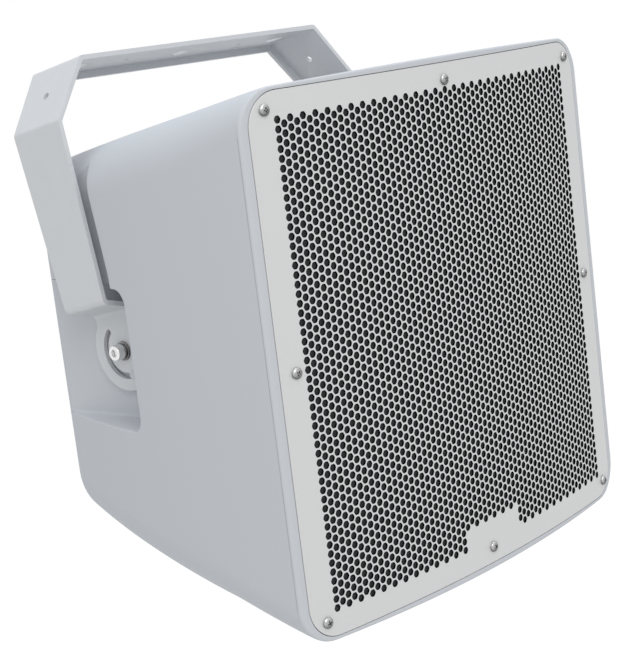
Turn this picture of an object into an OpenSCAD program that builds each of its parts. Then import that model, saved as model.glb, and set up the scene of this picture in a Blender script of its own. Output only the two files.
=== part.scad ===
/* [Cabinet] */
// Width across the front rim
front_w = 431; // [428:1:435]
// Height across the front rim
front_h = 417.5; // [416:0.5:420]
// Depth from the grille's centre to the flat rear wall
cabinet_d = 340; // [336:1:346]
// Radius of the bowed front, in plan
bow_r = 1242; // [1150:10:1400]
// Corner radius of the front rim
rim_r = 31; // [28:1:34]
// Corner radius of the long edges behind the rim
edge_r = 42; // [38:1:46]
// Depth of the straight band at the sides
rim_d = 22; // [20:1:24]
// Taper of the top and bottom, millimetres per millimetre
top_slope = 0.162; // [0.158:0.001:0.166]
// Taper of the sides where they start
side_slope = 0.05; // [0.045:0.005:0.055]
// Growth of the side taper toward the rear
side_curve = 0.00056; // [0.00053:0.00001:0.00058]
// Wall thickness
wall = 6; // [5.5:0.1:6.5]
// Rounding of the rear edges
rear_round = 20; // [16:1:22]

/* [Grille] */
// Width of the grille along its bow
grille_w = 414.5; // [413:0.5:416]
// Height of the grille
grille_h = 406; // [404:1:408]
// Corner radius of the grille
grille_r = 27; // [25:1:29]
// Thickness of the grille sheet
grille_t = 1.5; // [1.2:0.1:2]
// Height and width of the perforated field
field = 364; // [356:1:366]
// Pitch of the openings
hole_pitch = 37; // [36.5:0.1:37.2]
// Web left between two openings
web = 5; // [4:0.5:7]
// Width of the blank patch low in the middle
patch_w = 72; // [60:1:90]
// Height of the blank patch
patch_h = 10; // [8:1:12]
// Grille screws, across
screw_x = 193; // [190:0.5:196]
// Grille screws, up
screw_z = 190; // [188:0.5:192]

/* [Yoke] */
// Width of the bar
yoke_w = 62; // [60:1:64]
// Width of an arm at its lower end
arm_w = 49; // [47:1:52]
// Thickness of the yoke sheet
yoke_t = 4; // [3.8:0.1:4.2]
// Pivot axis to the outer face of the bar
yoke_drop = 240.4; // [238:0.2:243]
// Half the length of the flat bar
bar_half = 145.2; // [143:0.2:148]
// Outer face of an arm from the middle
arm_x = 184; // [183:0.2:185]
// Height of the chamfered corner
chamfer_h = 48.6; // [46:0.2:50]
// Outer face of an end plate from the middle
plate_x = 155.1; // [154.8:0.1:155.4]
// Top of the step above the pivot
step_top = 41; // [40:0.5:44]
// Bottom of the step above the pivot
step_low = 33; // [33:0.5:35]
// Radius of the end plate round the pivot
plate_r = 34; // [33:0.5:35]
// Depth of the rear lip, with the sheet
lip = 9.8; // [9:0.2:11]
// Lean of the cabinet under the yoke
tilt = 10.6; // [9.6:0.1:11.2]
// Radius of the arc slot's middle
slot_r = 21.4; // [21:0.1:22]
// Width of the arc slot
slot_w = 5.5; // [5:0.1:6]
// Radius of the three large bar holes
bar_hole_r = 8.75; // [8:0.25:9]
// Radius of the two small bar holes
bar_small_r = 4.25; // [3.5:0.25:4.5]
// Large bar holes from the middle
bar_hole_x = 120; // [116:1:124]
// Small bar holes from the middle
bar_small_x = 70; // [60:1:80]
// Radius of the safety hole in each chamfer
safety_r = 3.2; // [3:0.1:3.4]

/* [Pivot] */
// Pivot axis behind the grille's centre
pivot_y = 238.4; // [238:0.1:239]
// Pocket floor from the middle
pocket_x = 149.6; // [149.4:0.1:149.7]
// Front of the side pocket
pocket_y = 190; // [186:1:194]
// Half height of the side pocket
pocket_z = 58; // [56:1:60]
// Channel floor from the middle
channel_x = 171; // [168:0.5:173]
// Front of the arm's channel at the pivot's height
channel_y = 200; // [199:0.5:201]
// Lean of the channel's front toward the rear as it rises
channel_lean = 0.21; // [0.18:0.01:0.22]
// Radius of the pivot screw's shank
pivot_r = 4; // [4:0.01:4]
// Radius of the pivot screw's head
head_r = 6.5; // [6:0.1:7]
// Height of the pivot screw's head
head_h = 8; // [7:0.5:9]

/* [Woofer] */
// Radius of the woofer's frame
woofer_r = 158; // [156:1:160]
// Radius of the voice coil former
coil_r = 38.4; // [38:0.1:38.8]
// Front face of the baffle
baffle_y = 45; // [44:0.5:46]
// Thickness of the baffle
baffle_t = 15; // [12:1:15]

/* [Hidden] */

gap = 0.3;
// Play round the grille in its recess
grille_gap = 0.9;
fit = 0.05;
lots = 900;
arc_n = 8;
seal_t = 2;
ledge_depth = grille_t + seal_t;
ledge_t = 10;
ledge_half = field / 2 + 2.5;
ring_t = 8;
ring_half = 166;
baffle_half = field / 2;
foam_t = 6;
wadding_t = 16;
rear_in = cabinet_d - wall;
cell_r = (hole_pitch - web) / sqrt(3);
col_step = hole_pitch * sqrt(3) / 2;
cols = floor((field / 2 - cell_r) / col_step);
rows = floor((field - 2 * cell_r) / hole_pitch / 2);
plate_in = plate_x - yoke_t;
disc_t = plate_in - gap - pocket_x;
// Outer radius of the yoke's bends, and how far its rear lip runs down
fold_r = 6;
lip_end = 170;
washer_t = 1.6;
spring_t = 1.8;
washer_x = plate_x + gap;
spring_x = washer_x + washer_t;
seat_x = spring_x + spring_t;
lock_angle = -110;
slot_front = lock_angle + tilt;
slot_rear = 53;
face_screws = [for (s = [-1, 0, 1], z = [-1, 0, 1]) if (s != 0 || z != 0) [s * screw_x, z * screw_z]];
// Screws of the baffle: from the middle to their row, and from each to the next
ring_row = 174;
ring_step = 120;
ring_screws = concat([for (a = [-1, 1], k = [-1 : 1]) [a * ring_row, k * ring_step]],
    [for (a = [-1, 1], k = [-1 : 1]) [k * ring_step, a * ring_row]]);
// Depths behind the front where the cabinet's form has a section
sections = [60, 102, 160, 222, 280];
plate_z = -82;
plate_size = [170, 92];
window_size = [140, 66];
gland_x = 44;
steel = "lightgray";
dark = [0.12, 0.12, 0.13];
paint = [0.78, 0.79, 0.81];

function half_w(y) = front_w / 2 - side_slope * behind(y) - side_curve * pow(behind(y), 2);
function half_h(y) = front_h / 2 - top_slope * max(0, y);
function behind(y) = max(0, y - rim_d);
function long_r(y) = rim_r + (edge_r - rim_r) * min(1, behind(y) / 80);
function corner(cx, cy, r, from) = [for (i = [0 : arc_n]) let (a = from + 90 * i / arc_n)
    [cx + r * cos(a), cy + r * sin(a)]];
function rounded(w, h, r) = concat(corner(w / 2 - r, h / 2 - r, r, 0),
    corner(r - w / 2, h / 2 - r, r, 90), corner(r - w / 2, r - h / 2, r, 180),
    corner(w / 2 - r, r - h / 2, r, 270));
function unit(v) = v / norm(v);
function bend(p, c, q, r) = let (u = unit(p - c), v = unit(q - c), half = acos(u * v) / 2,
    m = c + unit(u + v) * r / sin(half), s = c + u * r / tan(half) - m, e = c + v * r / tan(half) - m,
    turn = 180 - 2 * half, way = sign(s[0] * e[1] - s[1] * e[0]))
    [for (i = [0 : arc_n]) let (a = way * turn * i / arc_n)
    m + [s[0] * cos(a) - s[1] * sin(a), s[0] * sin(a) + s[1] * cos(a)]];

// The cabinet's own frame: origin at the grille's centre, front toward -Y, hung below the yoke
module in_cabinet() {
    translate([0, 0, -yoke_drop]) rotate([tilt, 0, 0]) translate([0, -pivot_y, 0]) children();
}
// A point of the bowed front, s along the bow, local Z pointing out of the face
module on_face(s, z, depth = 0) {
    translate([0, bow_r, 0]) rotate([0, 0, s / bow_r * 180 / PI]) translate([0, depth - bow_r, z])
        rotate([90, 0, 0]) children();
}
// All that lies deeper than a given depth under the bowed front
module behind_bow(depth) {
    translate([0, bow_r, 0]) cylinder(r = bow_r - depth, h = lots, center = true, $fn = 720);
}
// A plate across the cabinet, outline in x and z, from y0 to y1
module slab(y0, y1) {
    translate([0, y1, 0]) rotate([90, 0, 0]) linear_extrude(y1 - y0) children();
}
// A block with its round corners seen from the front
module block(w, h, r, y0, y1) {
    slab(y0, y1) polygon(rounded(w, h, r));
}
// A turned piece about the woofer's axis, profile in radius and y
module spun(n = 96) {
    rotate([-90, 0, 0]) rotate_extrude($fn = n) children();
}
module tube(outer, inner, y0, y1) {
    translate([0, y0, 0]) rotate([-90, 0, 0]) difference() {
        cylinder(r = outer, h = y1 - y0, $fn = 64);
        translate([0, 0, -1]) cylinder(r = inner, h = y1 - y0 + 2, $fn = 64);
    }
}
module rod(r, y0, y1) {
    translate([0, y0, 0]) rotate([-90, 0, 0]) cylinder(r = r, h = y1 - y0, $fn = 48);
}
module both_sides() {
    children();
    mirror([1, 0, 0]) children();
}
// A round thing on the pivot axis from x0 to x1, on the +x side
module on_pivot(r, x0, x1, n = 64) {
    translate([x0, 0, 0]) rotate([0, 90, 0]) cylinder(r = r, h = x1 - x0, $fn = n);
}
module pivot_ring(outer, inner, x0, x1) {
    difference() {
        on_pivot(outer, x0, x1);
        on_pivot(inner, x0 - 1, x1 + 1);
    }
}

// One solid of the cabinet's outer form, drawn in by an inset: rings of points from front to rear
module cabinet_form(inset, front, rear) {
    round_end = [for (a = [0, 37, 64, 90]) [rear - rear_round * (1 - sin(a)), rear_round * (1 - cos(a))]];
    cuts = concat([[front, 0], [rim_d, 0]], [for (y = sections) [y, 0]], round_end);
    rings = [for (c = cuts) let (y = c[0], in = inset + c[1], r = max(8, long_r(y) - inset - c[1] / 2))
        [for (p = rounded(2 * (half_w(y) - in), 2 * (half_h(y) - in), r)) [p[0], y, p[1]]]];
    n = len(rings[0]);
    last = len(rings) - 1;
    polyhedron(points = [for (r = rings) each r], faces = concat([[for (j = [n - 1 : -1 : 0]) j]],
        [[for (j = [0 : n - 1]) last * n + j]],
        [for (k = [0 : last - 1], j = [0 : n - 1]) let (i = (j + 1) % n)
        [k * n + j, k * n + i, (k + 1) * n + i, (k + 1) * n + j]]), convexity = 4);
}
// Side pocket and arm channel, grown by a skin on the inside
module side_recess(skin) {
    both_sides() {
        translate([pocket_x - skin, 0, 0]) rotate([90, 0, 90]) linear_extrude(lots)
            translate([pocket_y + 200, 0]) polygon(rounded(400 + 2 * skin, 2 * (pocket_z + skin), 9));
        translate([channel_x - skin, 0, 0]) rotate([90, 0, 90]) linear_extrude(lots)
            polygon([[channel_y - skin, 0], [channel_y - skin + channel_lean * lots, lots], [3 * lots, lots],
            [3 * lots, 0]]);
    }
}
module cabinet_shell() {
    color(paint) in_cabinet() difference() {
        intersection() {
            cabinet_form(0, -1, cabinet_d);
            behind_bow(0);
        }
        intersection() {
            block(grille_w + 2 * grille_gap, grille_h + 2 * grille_gap, grille_r + grille_gap, -30, 60);
            difference() {
                behind_bow(-20);
                behind_bow(ledge_depth);
            }
        }
        block(2 * ledge_half, 2 * ledge_half, 12, -30, baffle_y + baffle_t + 1);
        block(2 * ring_half, 2 * ring_half, 12, baffle_y, 100);
        difference() {
            intersection() {
                cabinet_form(wall, 0, rear_in);
                behind_bow(ledge_depth + ledge_t);
            }
            slab(baffle_y + baffle_t + 1, baffle_y + baffle_t + 1 + ring_t) square(lots, center = true);
            side_recess(wall);
        }
        side_recess(0);
        both_sides() translate([0, pivot_y, 0]) {
            on_pivot(pivot_r + 0.5, pocket_x - 20, pocket_x + 5);
            lock_place() on_pivot(4, pocket_x - 20, pocket_x + 5, 32);
        }
        for (p = face_screws) on_face(p[0], p[1], ledge_depth + 9) cylinder(r = 3.2, h = 20, $fn = 32);
        for (p = ring_screws) translate([p[0], 0, p[1]]) rod(2.2, baffle_y, 100);
        translate([0, 0, plate_z]) {
            block(window_size[0], window_size[1], 8, rear_in - 5, cabinet_d + 5);
            for (p = input_holes()) translate([p[0], 0, p[1]]) rod(1.9, rear_in + 1, cabinet_d + 5);
        }
    }
}
function input_holes() = [for (sx = [-1, 1], sz = [-1, 1])
    [sx * (plate_size[0] / 2 - 7), sz * (plate_size[1] / 2 - 7)]];
module lock_place() {
    translate([0, slot_r * cos(lock_angle), slot_r * sin(lock_angle)]) children();
}

// Corners of the folded sheet seen from the front, drawn in from its outer face by t
function fold_line(t) = let (k = t * tan(atan(chamfer_h / (arm_x - bar_half)) / 2),
    j = t * tan((90 - atan(chamfer_h / (arm_x - bar_half))) / 2),
    s = t * tan((90 - atan((step_top - step_low) / (arm_x - plate_x))) / 2))
    [[0, -t], [bar_half - k, -t], [arm_x - t, -chamfer_h - j],
    [arm_x - t, step_top - yoke_drop + s], [plate_x - t, step_low - yoke_drop + s],
    [plate_x - t, -yoke_drop - plate_r - 5]];
function folded(p, radii) = concat([p[0]],
    [for (i = [1 : len(p) - 2]) each bend(p[i - 1], p[i], p[i + 1], radii[i - 1])], [p[len(p) - 1]]);
module sheet_outline(t) {
    tight = max(0.6, fold_r - t);
    outer = folded(fold_line(0), [fold_r, fold_r, fold_r, fold_r]);
    inner = folded(fold_line(t), [tight, tight, tight, fold_r + t]);
    polygon(concat(outer, [for (i = [len(inner) - 1 : -1 : 0]) inner[i]]));
}
module yoke_slot() {
    a0 = slot_front;
    a1 = slot_rear;
    span = [for (i = [0 : 12]) let (a = a0 + (a1 - a0) * i / 12) 40 * [cos(a), sin(a)]];
    intersection() {
        pivot_ring(slot_r + slot_w / 2, slot_r - slot_w / 2, plate_in - 2, plate_x + 2);
        translate([plate_in - 5, 0, 0]) rotate([90, 0, 90]) linear_extrude(20) polygon(concat([[0, 0]], span));
    }
    for (a = [a0, a1]) translate([0, slot_r * cos(a), slot_r * sin(a)])
        on_pivot(slot_w / 2, plate_in - 2, plate_x + 2, 32);
}
// Half the sheet's width at a height under the bar's outer face
function half_sheet(z) = yoke_w / 2 + (yoke_w - arm_w) / 2 * min(0, z) / (yoke_drop - step_top);
module folded_sheet(t) {
    both_sides() rotate([90, 0, 0]) linear_extrude(2 * plate_r + 2, center = true) sheet_outline(t);
}
module yoke() {
    low = step_top - yoke_drop;
    color(paint) difference() {
        union() {
            intersection() {
                folded_sheet(yoke_t);
                rotate([90, 0, 90]) linear_extrude(lots, center = true) {
                    polygon([[-half_sheet(0), 0], [-half_sheet(low), low], [-half_sheet(low), -yoke_drop],
                    [half_sheet(low), -yoke_drop], [half_sheet(low), low], [half_sheet(0), 0]]);
                    translate([0, -yoke_drop]) circle(r = plate_r, $fn = 96);
                }
            }
            intersection() {
                folded_sheet(lip);
                rotate([90, 0, 90]) linear_extrude(lots, center = true)
                    polygon([[half_sheet(0), 0], [half_sheet(0) - yoke_t, 0],
                    [half_sheet(-lip_end) - yoke_t, -lip_end], [half_sheet(-lip_end), -lip_end]]);
            }
        }
        translate([0, 0, -yoke_drop]) both_sides() {
            on_pivot(6, plate_in - 2, plate_x + 2);
            yoke_slot();
        }
        for (x = [-1, 0, 1]) translate([x * bar_hole_x, 0, -10]) cylinder(r = bar_hole_r, h = 20, $fn = 64);
        for (x = [-1, 1]) translate([x * bar_small_x, 0, -10]) cylinder(r = bar_small_r, h = 20, $fn = 48);
        both_sides() translate([(bar_half + arm_x) / 2, 0, -chamfer_h / 2])
            rotate([0, atan(chamfer_h / (arm_x - bar_half)), 0])
            cylinder(r = safety_r, h = 20, center = true, $fn = 32);
    }
}
module pivot_bushes() {
    color("ivory") translate([0, 0, -yoke_drop]) both_sides() pivot_ring(6, pivot_r + fit, plate_in, plate_x);
}
module at_pivot() {
    in_cabinet() translate([0, pivot_y, 0]) both_sides() children();
}
module pivot_screws() {
    color(steel) at_pivot() difference() {
        union() {
            on_pivot(pivot_r, pocket_x - 20, seat_x);
            on_pivot(head_r, seat_x, seat_x + head_h);
        }
        on_pivot(3.46, seat_x + head_h - 4, seat_x + head_h + 1, 6);
    }
}
module pivot_washers() {
    color(steel) at_pivot() pivot_ring(8, pivot_r + 0.2, washer_x, spring_x);
}
module spring_washers() {
    color(steel) at_pivot() difference() {
        pivot_ring(6.6, pivot_r + 0.2, spring_x, seat_x);
        translate([spring_x - 1, 2, 0]) rotate([20, 0, 0]) cube([spring_t + 2, 8, 0.8]);
    }
}
module friction_discs() {
    color(dark) at_pivot() pivot_ring(15, pivot_r + 0.5, pocket_x, pocket_x + disc_t);
}
module pivot_plates() {
    color(steel) at_pivot() difference() {
        translate([pocket_x - wall - 6, -24, -24]) cube([6, 48, 48]);
        on_pivot(pivot_r + fit, pocket_x - 30, pocket_x);
        lock_place() on_pivot(4.5, pocket_x - 30, pocket_x, 32);
    }
}
module lock_inserts() {
    color("goldenrod") at_pivot() lock_place() pivot_ring(4, 2.5, pocket_x - 11, pocket_x - 0.5);
}

// Openings of the grille: a honeycomb cut to the field, with the blank patch left whole
module grille_openings() {
    for (c = [-cols : cols], r = [-rows - 1 : rows + 1]) {
        x = c * col_step;
        z = (r + (c % 2 == 0 ? 0 : 0.5)) * hole_pitch;
        in_field = abs(z) < (field - hole_pitch + web) / 2 + 1;
        off_patch = abs(x) > patch_w / 2 || z > patch_h + cell_r - field / 2;
        if (in_field && off_patch) translate([x, z]) circle(r = cell_r, $fn = 6);
    }
}
module grille() {
    color(paint) in_cabinet() difference() {
        intersection() {
            slab(-30, 60) difference() {
                polygon(rounded(grille_w, grille_h, grille_r));
                grille_openings();
            }
            difference() {
                behind_bow(0);
                behind_bow(grille_t);
            }
        }
        for (p = face_screws) on_face(p[0], p[1], 20) cylinder(r = 2.8, h = 40, $fn = 32);
    }
}
module grille_backing() {
    color(dark) in_cabinet() intersection() {
        block(2 * ledge_half - 1, 2 * ledge_half - 1, 12, -30, 60);
        difference() {
            behind_bow(grille_t);
            behind_bow(grille_t + foam_t);
        }
    }
}
module grille_seal() {
    color(dark) in_cabinet() difference() {
        intersection() {
            block(grille_w, grille_h, grille_r, -30, 60);
            difference() {
                behind_bow(grille_t);
                behind_bow(ledge_depth);
            }
        }
        block(2 * ledge_half, 2 * ledge_half, 12, -40, 70);
        for (p = face_screws) on_face(p[0], p[1], 20) cylinder(r = 3.3, h = 40, $fn = 32);
    }
}
// A pan-head screw with a cross recess, seat at z = 0, head up
module pan_screw(r, head, high, long) {
    difference() {
        union() {
            translate([0, 0, -long]) cylinder(r = r, h = long + 0.5, $fn = 32);
            rotate_extrude($fn = 48) polygon(concat([[0, 0], [head, 0], [head, high * 0.35]],
                [for (i = [1 : 5]) [head * cos(18 * i), high * (0.35 + 0.65 * sin(18 * i))]]));
        }
        for (a = [0, 90]) rotate([0, 0, a]) translate([0, 0, high]) cube([head, 0.9, high], center = true);
    }
}
module grille_screws() {
    color(steel) in_cabinet() for (p = face_screws) on_face(p[0], p[1]) pan_screw(2.4, 4.9, 3.1, 11);
}
module grille_inserts() {
    color("goldenrod") in_cabinet() for (p = face_screws) on_face(p[0], p[1], ledge_depth + 8.5) difference() {
        cylinder(r = 3.2, h = 8, $fn = 32);
        translate([0, 0, -1]) cylinder(r = 2.45, h = 10, $fn = 32);
    }
}

module baffle() {
    color("saddlebrown") in_cabinet() difference() {
        block(2 * baffle_half, 2 * baffle_half, 11, baffle_y, baffle_y + baffle_t);
        rod(143.5, 0, 100);
        woofer_bolts() rod(2.6, 0, 100);
        for (p = ring_screws) translate([p[0], 0, p[1]]) rod(2.7, 0, 100);
    }
}
module baffle_seal() {
    y = baffle_y + baffle_t;
    color(dark) in_cabinet() difference() {
        block(2 * baffle_half, 2 * baffle_half, 11, y, y + 1);
        block(2 * ring_half, 2 * ring_half, 12, y - 1, y + 2);
        for (p = ring_screws) translate([p[0], 0, p[1]]) rod(2.7, 0, 100);
    }
}
module baffle_screws() {
    color(steel) in_cabinet() for (p = ring_screws) translate([p[0], baffle_y, p[1]]) rotate([90, 0, 0])
        pan_screw(2.15, 4.6, 2.8, 23);
}
module woofer_bolts() {
    for (i = [0 : 7]) rotate([0, 45 * i + 22.5, 0]) translate([150.5, 0, 0]) children();
}
module woofer_basket() {
    f = baffle_y - 5;
    color([0.3, 0.3, 0.32]) in_cabinet() difference() {
        spun() polygon([[woofer_r, f], [woofer_r, f + 4], [143, f + 4], [143, f + 20], [95, f + 64],
            [95, f + 78], [42, f + 78], [42, f + 74], [78, f + 74], [78, f + 63], [88, f + 63],
            [88, f + 58], [138.5, f + 14], [138.5, f]]);
        for (i = [0 : 5]) rotate([0, 60 * i, 0]) translate([97, f + 22, -39]) cube([60, 38, 78]);
        woofer_bolts() rod(2.6, 0, 100);
    }
}
module woofer_gasket() {
    color(dark) in_cabinet() difference() {
        tube(woofer_r, 143.2, baffle_y - 1, baffle_y);
        woofer_bolts() rod(2.6, 0, 100);
    }
}
module woofer_screws() {
    color(steel) in_cabinet() woofer_bolts() translate([0, baffle_y - 5, 0]) rotate([90, 0, 0])
        pan_screw(2.5, 5, 3, 19);
}
// Half roll between the cone's edge and the basket
module surround() {
    f = baffle_y - 4;
    arc = [for (i = [0 : 10]) let (a = 180 - 18 * i) [131 + 5 * cos(a), f - 5 * sin(a)]];
    arc_in = [for (i = [0 : 10]) let (a = 18 * i) [131 + 4 * cos(a), f + 1 - 5 * sin(a)]];
    color(dark) in_cabinet() spun() polygon(concat([[124, f]], arc, [[138.2, f], [138.2, f + 1]], arc_in,
        [[124, f + 1]]));
}
module cone() {
    f = baffle_y - 4 + 1.4;
    color(dark) in_cabinet() spun() polygon([[coil_r, f + 50], [124.5, f], [129.5, f],
        [129.5, f + 1.2], [125, f + 1.2], [40, f + 51.5], [coil_r, f + 51.5]]);
}
module coil_former() {
    color("ivory") in_cabinet() tube(coil_r, coil_r - 0.6, baffle_y + 44, baffle_y + 86);
}
module coil_winding() {
    color("peru") in_cabinet() tube(coil_r + 0.8, coil_r, baffle_y + 71, baffle_y + 86);
}
// Corrugated disc that centres the coil
module spider() {
    y = baffle_y + 56.5;
    top = [for (i = [0 : 24]) [40 + 38 * i / 24, y - 0.4 + 1.6 * sin(i * 60)]];
    low = [for (i = [24 : -1 : 0]) [40 + 38 * i / 24, y + 0.5 + 1.6 * sin(i * 60)]];
    color("sandybrown") in_cabinet() spun() polygon(concat([[coil_r + gap, y - 0.4]], top, [[87.5, y - 0.4],
        [87.5, y + 0.5]], low, [[coil_r + gap, y + 0.5]]));
}
module front_plate() {
    color(steel) in_cabinet() tube(80, coil_r + 1.6, baffle_y + 73, baffle_y + 81);
}
module magnet_ring() {
    color([0.2, 0.2, 0.21]) in_cabinet() tube(90, 48, baffle_y + 81, baffle_y + 101);
}
module back_plate() {
    y = baffle_y + 101;
    color(steel) in_cabinet() difference() {
        spun() polygon([[23, y - 29], [coil_r - 1.8, y - 29], [coil_r - 1.8, y], [80, y],
            [80, y + 8], [23, y + 8]]);
        driver_bolts() rod(2.1, y + 1, y + 20);
    }
}
module driver_bolts() {
    for (i = [0 : 3]) rotate([0, 90 * i + 45, 0]) translate([38, 0, 0]) children();
}
// Flare that stands in the cone's middle, with its throat through the pole
module horn() {
    y = baffle_y + 12;
    color(dark) in_cabinet() spun() polygon([[59, y], [33, y + 21], [28, y + 33], [23, y + 47],
        [20, y + 61], [19, y + 101], [21.6, y + 101], [22.6, y + 61], [25.6, y + 47],
        [30.6, y + 33], [35.6, y + 21], [62, y + 1.5]]);
}
module driver_adapter() {
    y = baffle_y + 109;
    color(steel) in_cabinet() difference() {
        tube(50, 23, y, y + 4);
        driver_bolts() rod(2.4, y - 1, y + 10);
    }
}
module driver_body() {
    y = baffle_y + 113;
    color([0.2, 0.2, 0.21]) in_cabinet() difference() {
        rod(44, y, y + 22);
        rod(19, y - 1, y + 14);
        rod(28, y + 17, y + 30);
        spun() polygon([[0, y + 13], [19, y + 13], [27, y + 18], [0, y + 18]]);
        driver_bolts() rod(2.4, y - 1, y + 40);
    }
}
module diaphragm() {
    y = baffle_y + 135;
    color("silver") in_cabinet() spun() polygon([[0, y - 4], [10, y - 3.4], [18, y - 1.4], [22, y], [34, y],
        [34, y + 0.4], [21.8, y + 0.4], [18, y - 0.9], [10, y - 2.9], [0, y - 3.5]]);
}
module driver_cap() {
    y = baffle_y + 135.4;
    color(dark) in_cabinet() difference() {
        spun() polygon([[0, y + 16], [36, y + 16], [44, y + 10], [44, y], [32, y], [32, y + 8], [0, y + 8]]);
        driver_bolts() rod(2.4, y - 1, y + 40);
    }
}
module driver_screws() {
    y = baffle_y + 135.4;
    color(steel) in_cabinet() driver_bolts() {
        rod(2, baffle_y + 103, y + 16);
        rod(4, y + 16, y + 19);
    }
}

board = [-72, 34];
module on_board() {
    in_cabinet() translate([board[0], 0, board[1]]) children();
}
board_y = rear_in - 18;
module crossover_board() {
    color("darkgreen") on_board() difference() {
        block(100, 130, 3, board_y, board_y + 1.6);
        standoff_spots() rod(1.8, board_y - 1, board_y + 3);
    }
}
module standoff_spots() {
    for (sx = [-1, 1], sz = [-1, 1]) translate([sx * 44, 0, sz * 59]) children();
}
module board_standoffs() {
    color("ivory") on_board() standoff_spots() {
        rod(3.5, board_y + 1.6, rear_in);
        rod(1.75, board_y - 4, board_y + 1.6);
        rod(3, board_y - 4, board_y);
    }
}
module filter_coils() {
    color("peru") on_board() for (p = [[-18, 32, 24], [22, -28, 20]]) translate([p[0], 0, p[1]])
        tube(p[2], 9, board_y - 20, board_y);
}
module filter_capacitors() {
    color("steelblue") on_board() for (p = [[-28, -8, 8], [-28, -30, 9], [30, 40, 9]])
        translate([p[0] - 16, board_y - p[2], p[1]]) rotate([0, 90, 0]) cylinder(r = p[2], h = 32, $fn = 32);
}
module filter_resistors() {
    color("white") on_board() for (z = [4, 18]) translate([12, board_y - 8, z]) cube([32, 8, 8]);
}
core = [66, 0, 60];
module transformer_core() {
    color([0.35, 0.35, 0.37]) in_cabinet() translate(core) difference() {
        slab(rear_in - 38, rear_in - 6) square([78, 66], center = true);
        for (x = [-1, 1]) slab(rear_in - 60, rear_in) translate([x * 19.5, 0]) square([13, 40], center = true);
    }
}
module transformer_winding() {
    color("peru") in_cabinet() translate(core) difference() {
        slab(rear_in - 50, rear_in - 2.5) square([50, 39], center = true);
        slab(rear_in - 38, rear_in - 6) square([27, 50], center = true);
    }
}
module transformer_bracket() {
    y = rear_in;
    color(steel) in_cabinet() translate(core) difference() {
        slab(y - 40, y) square([82, 110], center = true);
        slab(y - 38, y + 1) square([78, 200], center = true);
        for (z = [-1, 1]) translate([0, y - 22, z * 47]) cube([lots, 40, 27], center = true);
        slab(y - 60, y - 30) square([52, 200], center = true);
    }
}

module at_input() {
    in_cabinet() translate([0, 0, plate_z]) children();
}
module input_plate() {
    color([0.3, 0.3, 0.32]) at_input() difference() {
        block(plate_size[0], plate_size[1], 8, cabinet_d + 1, cabinet_d + 4);
        for (p = input_holes()) translate([p[0], 0, p[1]]) rod(2.2, cabinet_d - 5, cabinet_d + 9);
        for (x = [-1, 1]) translate([x * gland_x, 0, -12]) rod(10.1, cabinet_d - 5, cabinet_d + 9);
    }
}
module input_seal() {
    color(dark) at_input() difference() {
        block(plate_size[0], plate_size[1], 8, cabinet_d, cabinet_d + 1);
        block(window_size[0], window_size[1], 8, cabinet_d - 1, cabinet_d + 2);
        for (p = input_holes()) translate([p[0], 0, p[1]]) rod(2.2, cabinet_d - 5, cabinet_d + 9);
    }
}
module input_screws() {
    color(steel) at_input() for (p = input_holes()) translate([p[0], cabinet_d + 4, p[1]]) rotate([-90, 0, 0])
        pan_screw(1.85, 3.8, 2.4, 8);
}
module terminal_block() {
    color("seagreen") at_input() translate([0, 0, 18]) difference() {
        slab(cabinet_d - 17, cabinet_d + 1) square([84, 20], center = true);
        for (i = [-3 : 3]) translate([i * 11, 0, 0]) rod(2.6, cabinet_d - 20, cabinet_d - 7);
    }
}
module glands() {
    at_input() for (x = [-1, 1]) translate([x * gland_x, 0, -12]) children();
}
module gland_bodies() {
    y = cabinet_d + 4;
    color(dark) glands() difference() {
        union() {
            translate([0, y, 0]) rotate([-90, 0, 0]) cylinder(r = 14, h = 6, $fn = 6);
            rod(10, y - 12, y + 14);
        }
        rod(6.5, y - 20, y + 20);
    }
}
module gland_nuts() {
    y = cabinet_d + 10.3;
    color(dark) glands() difference() {
        spun(64) polygon([[10.1, y], [13, y], [13, y + 10], [10, y + 14], [6.5, y + 14],
            [6.5, y + 10], [10.1, y + 7.7]]);
        rod(6.5, y - 2, y + 20);
    }
}
module gland_seals() {
    color("dimgray") glands() tube(6.5, 4.5, cabinet_d + 6, cabinet_d + 22);
}
module damping_foam() {
    y = rear_in;
    color([0.4, 0.4, 0.42]) in_cabinet() difference() {
        block(232, 250, 20, y - wadding_t, y);
        translate([board[0], 0, board[1]]) block(104, 134, 3, y - 20, y + 5);
        translate(core) slab(y - 60, y + 5) square([86, 114], center = true);
        translate([0, 0, plate_z]) block(window_size[0] + 6, window_size[1] + 6, 8, y - 20, y + 5);
    }
}
// Insulated wires, each a chain of straight runs in the cabinet's frame
wire_r = 1.6;
wire_runs = [
    [[-20, 322.8, -64], [-20, 317, -64], [-20, 305, -60], [-62, 305, -34], [-62, 310, -24], [-62, 315.8, -24]],
    [[-62, 315.8, 92], [-62, 310, 92], [-62, 270, 80], [-20, 225, 12], [-20, 203, 8], [-20, 196.6, 8]],
    [[-112, 315.8, 90], [-112, 310, 90], [-112, 250, 80], [-84, 160, 48], [-81.4, 126, 44.6],
        [-81.4, 118.2, 44.6]],
];
module run(a, b) {
    d = b - a;
    translate(a) rotate([0, acos(d[2] / norm(d)), atan2(d[1], d[0])])
        cylinder(r = wire_r, h = norm(d), $fn = 24);
}
module inner_wires() {
    color("firebrick") in_cabinet() for (w = wire_runs) {
        for (i = [1 : len(w) - 1]) run(w[i - 1], w[i]);
        for (i = [1 : len(w) - 2]) translate(w[i]) sphere(r = wire_r * 1.15, $fn = 24);
    }
}

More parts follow.
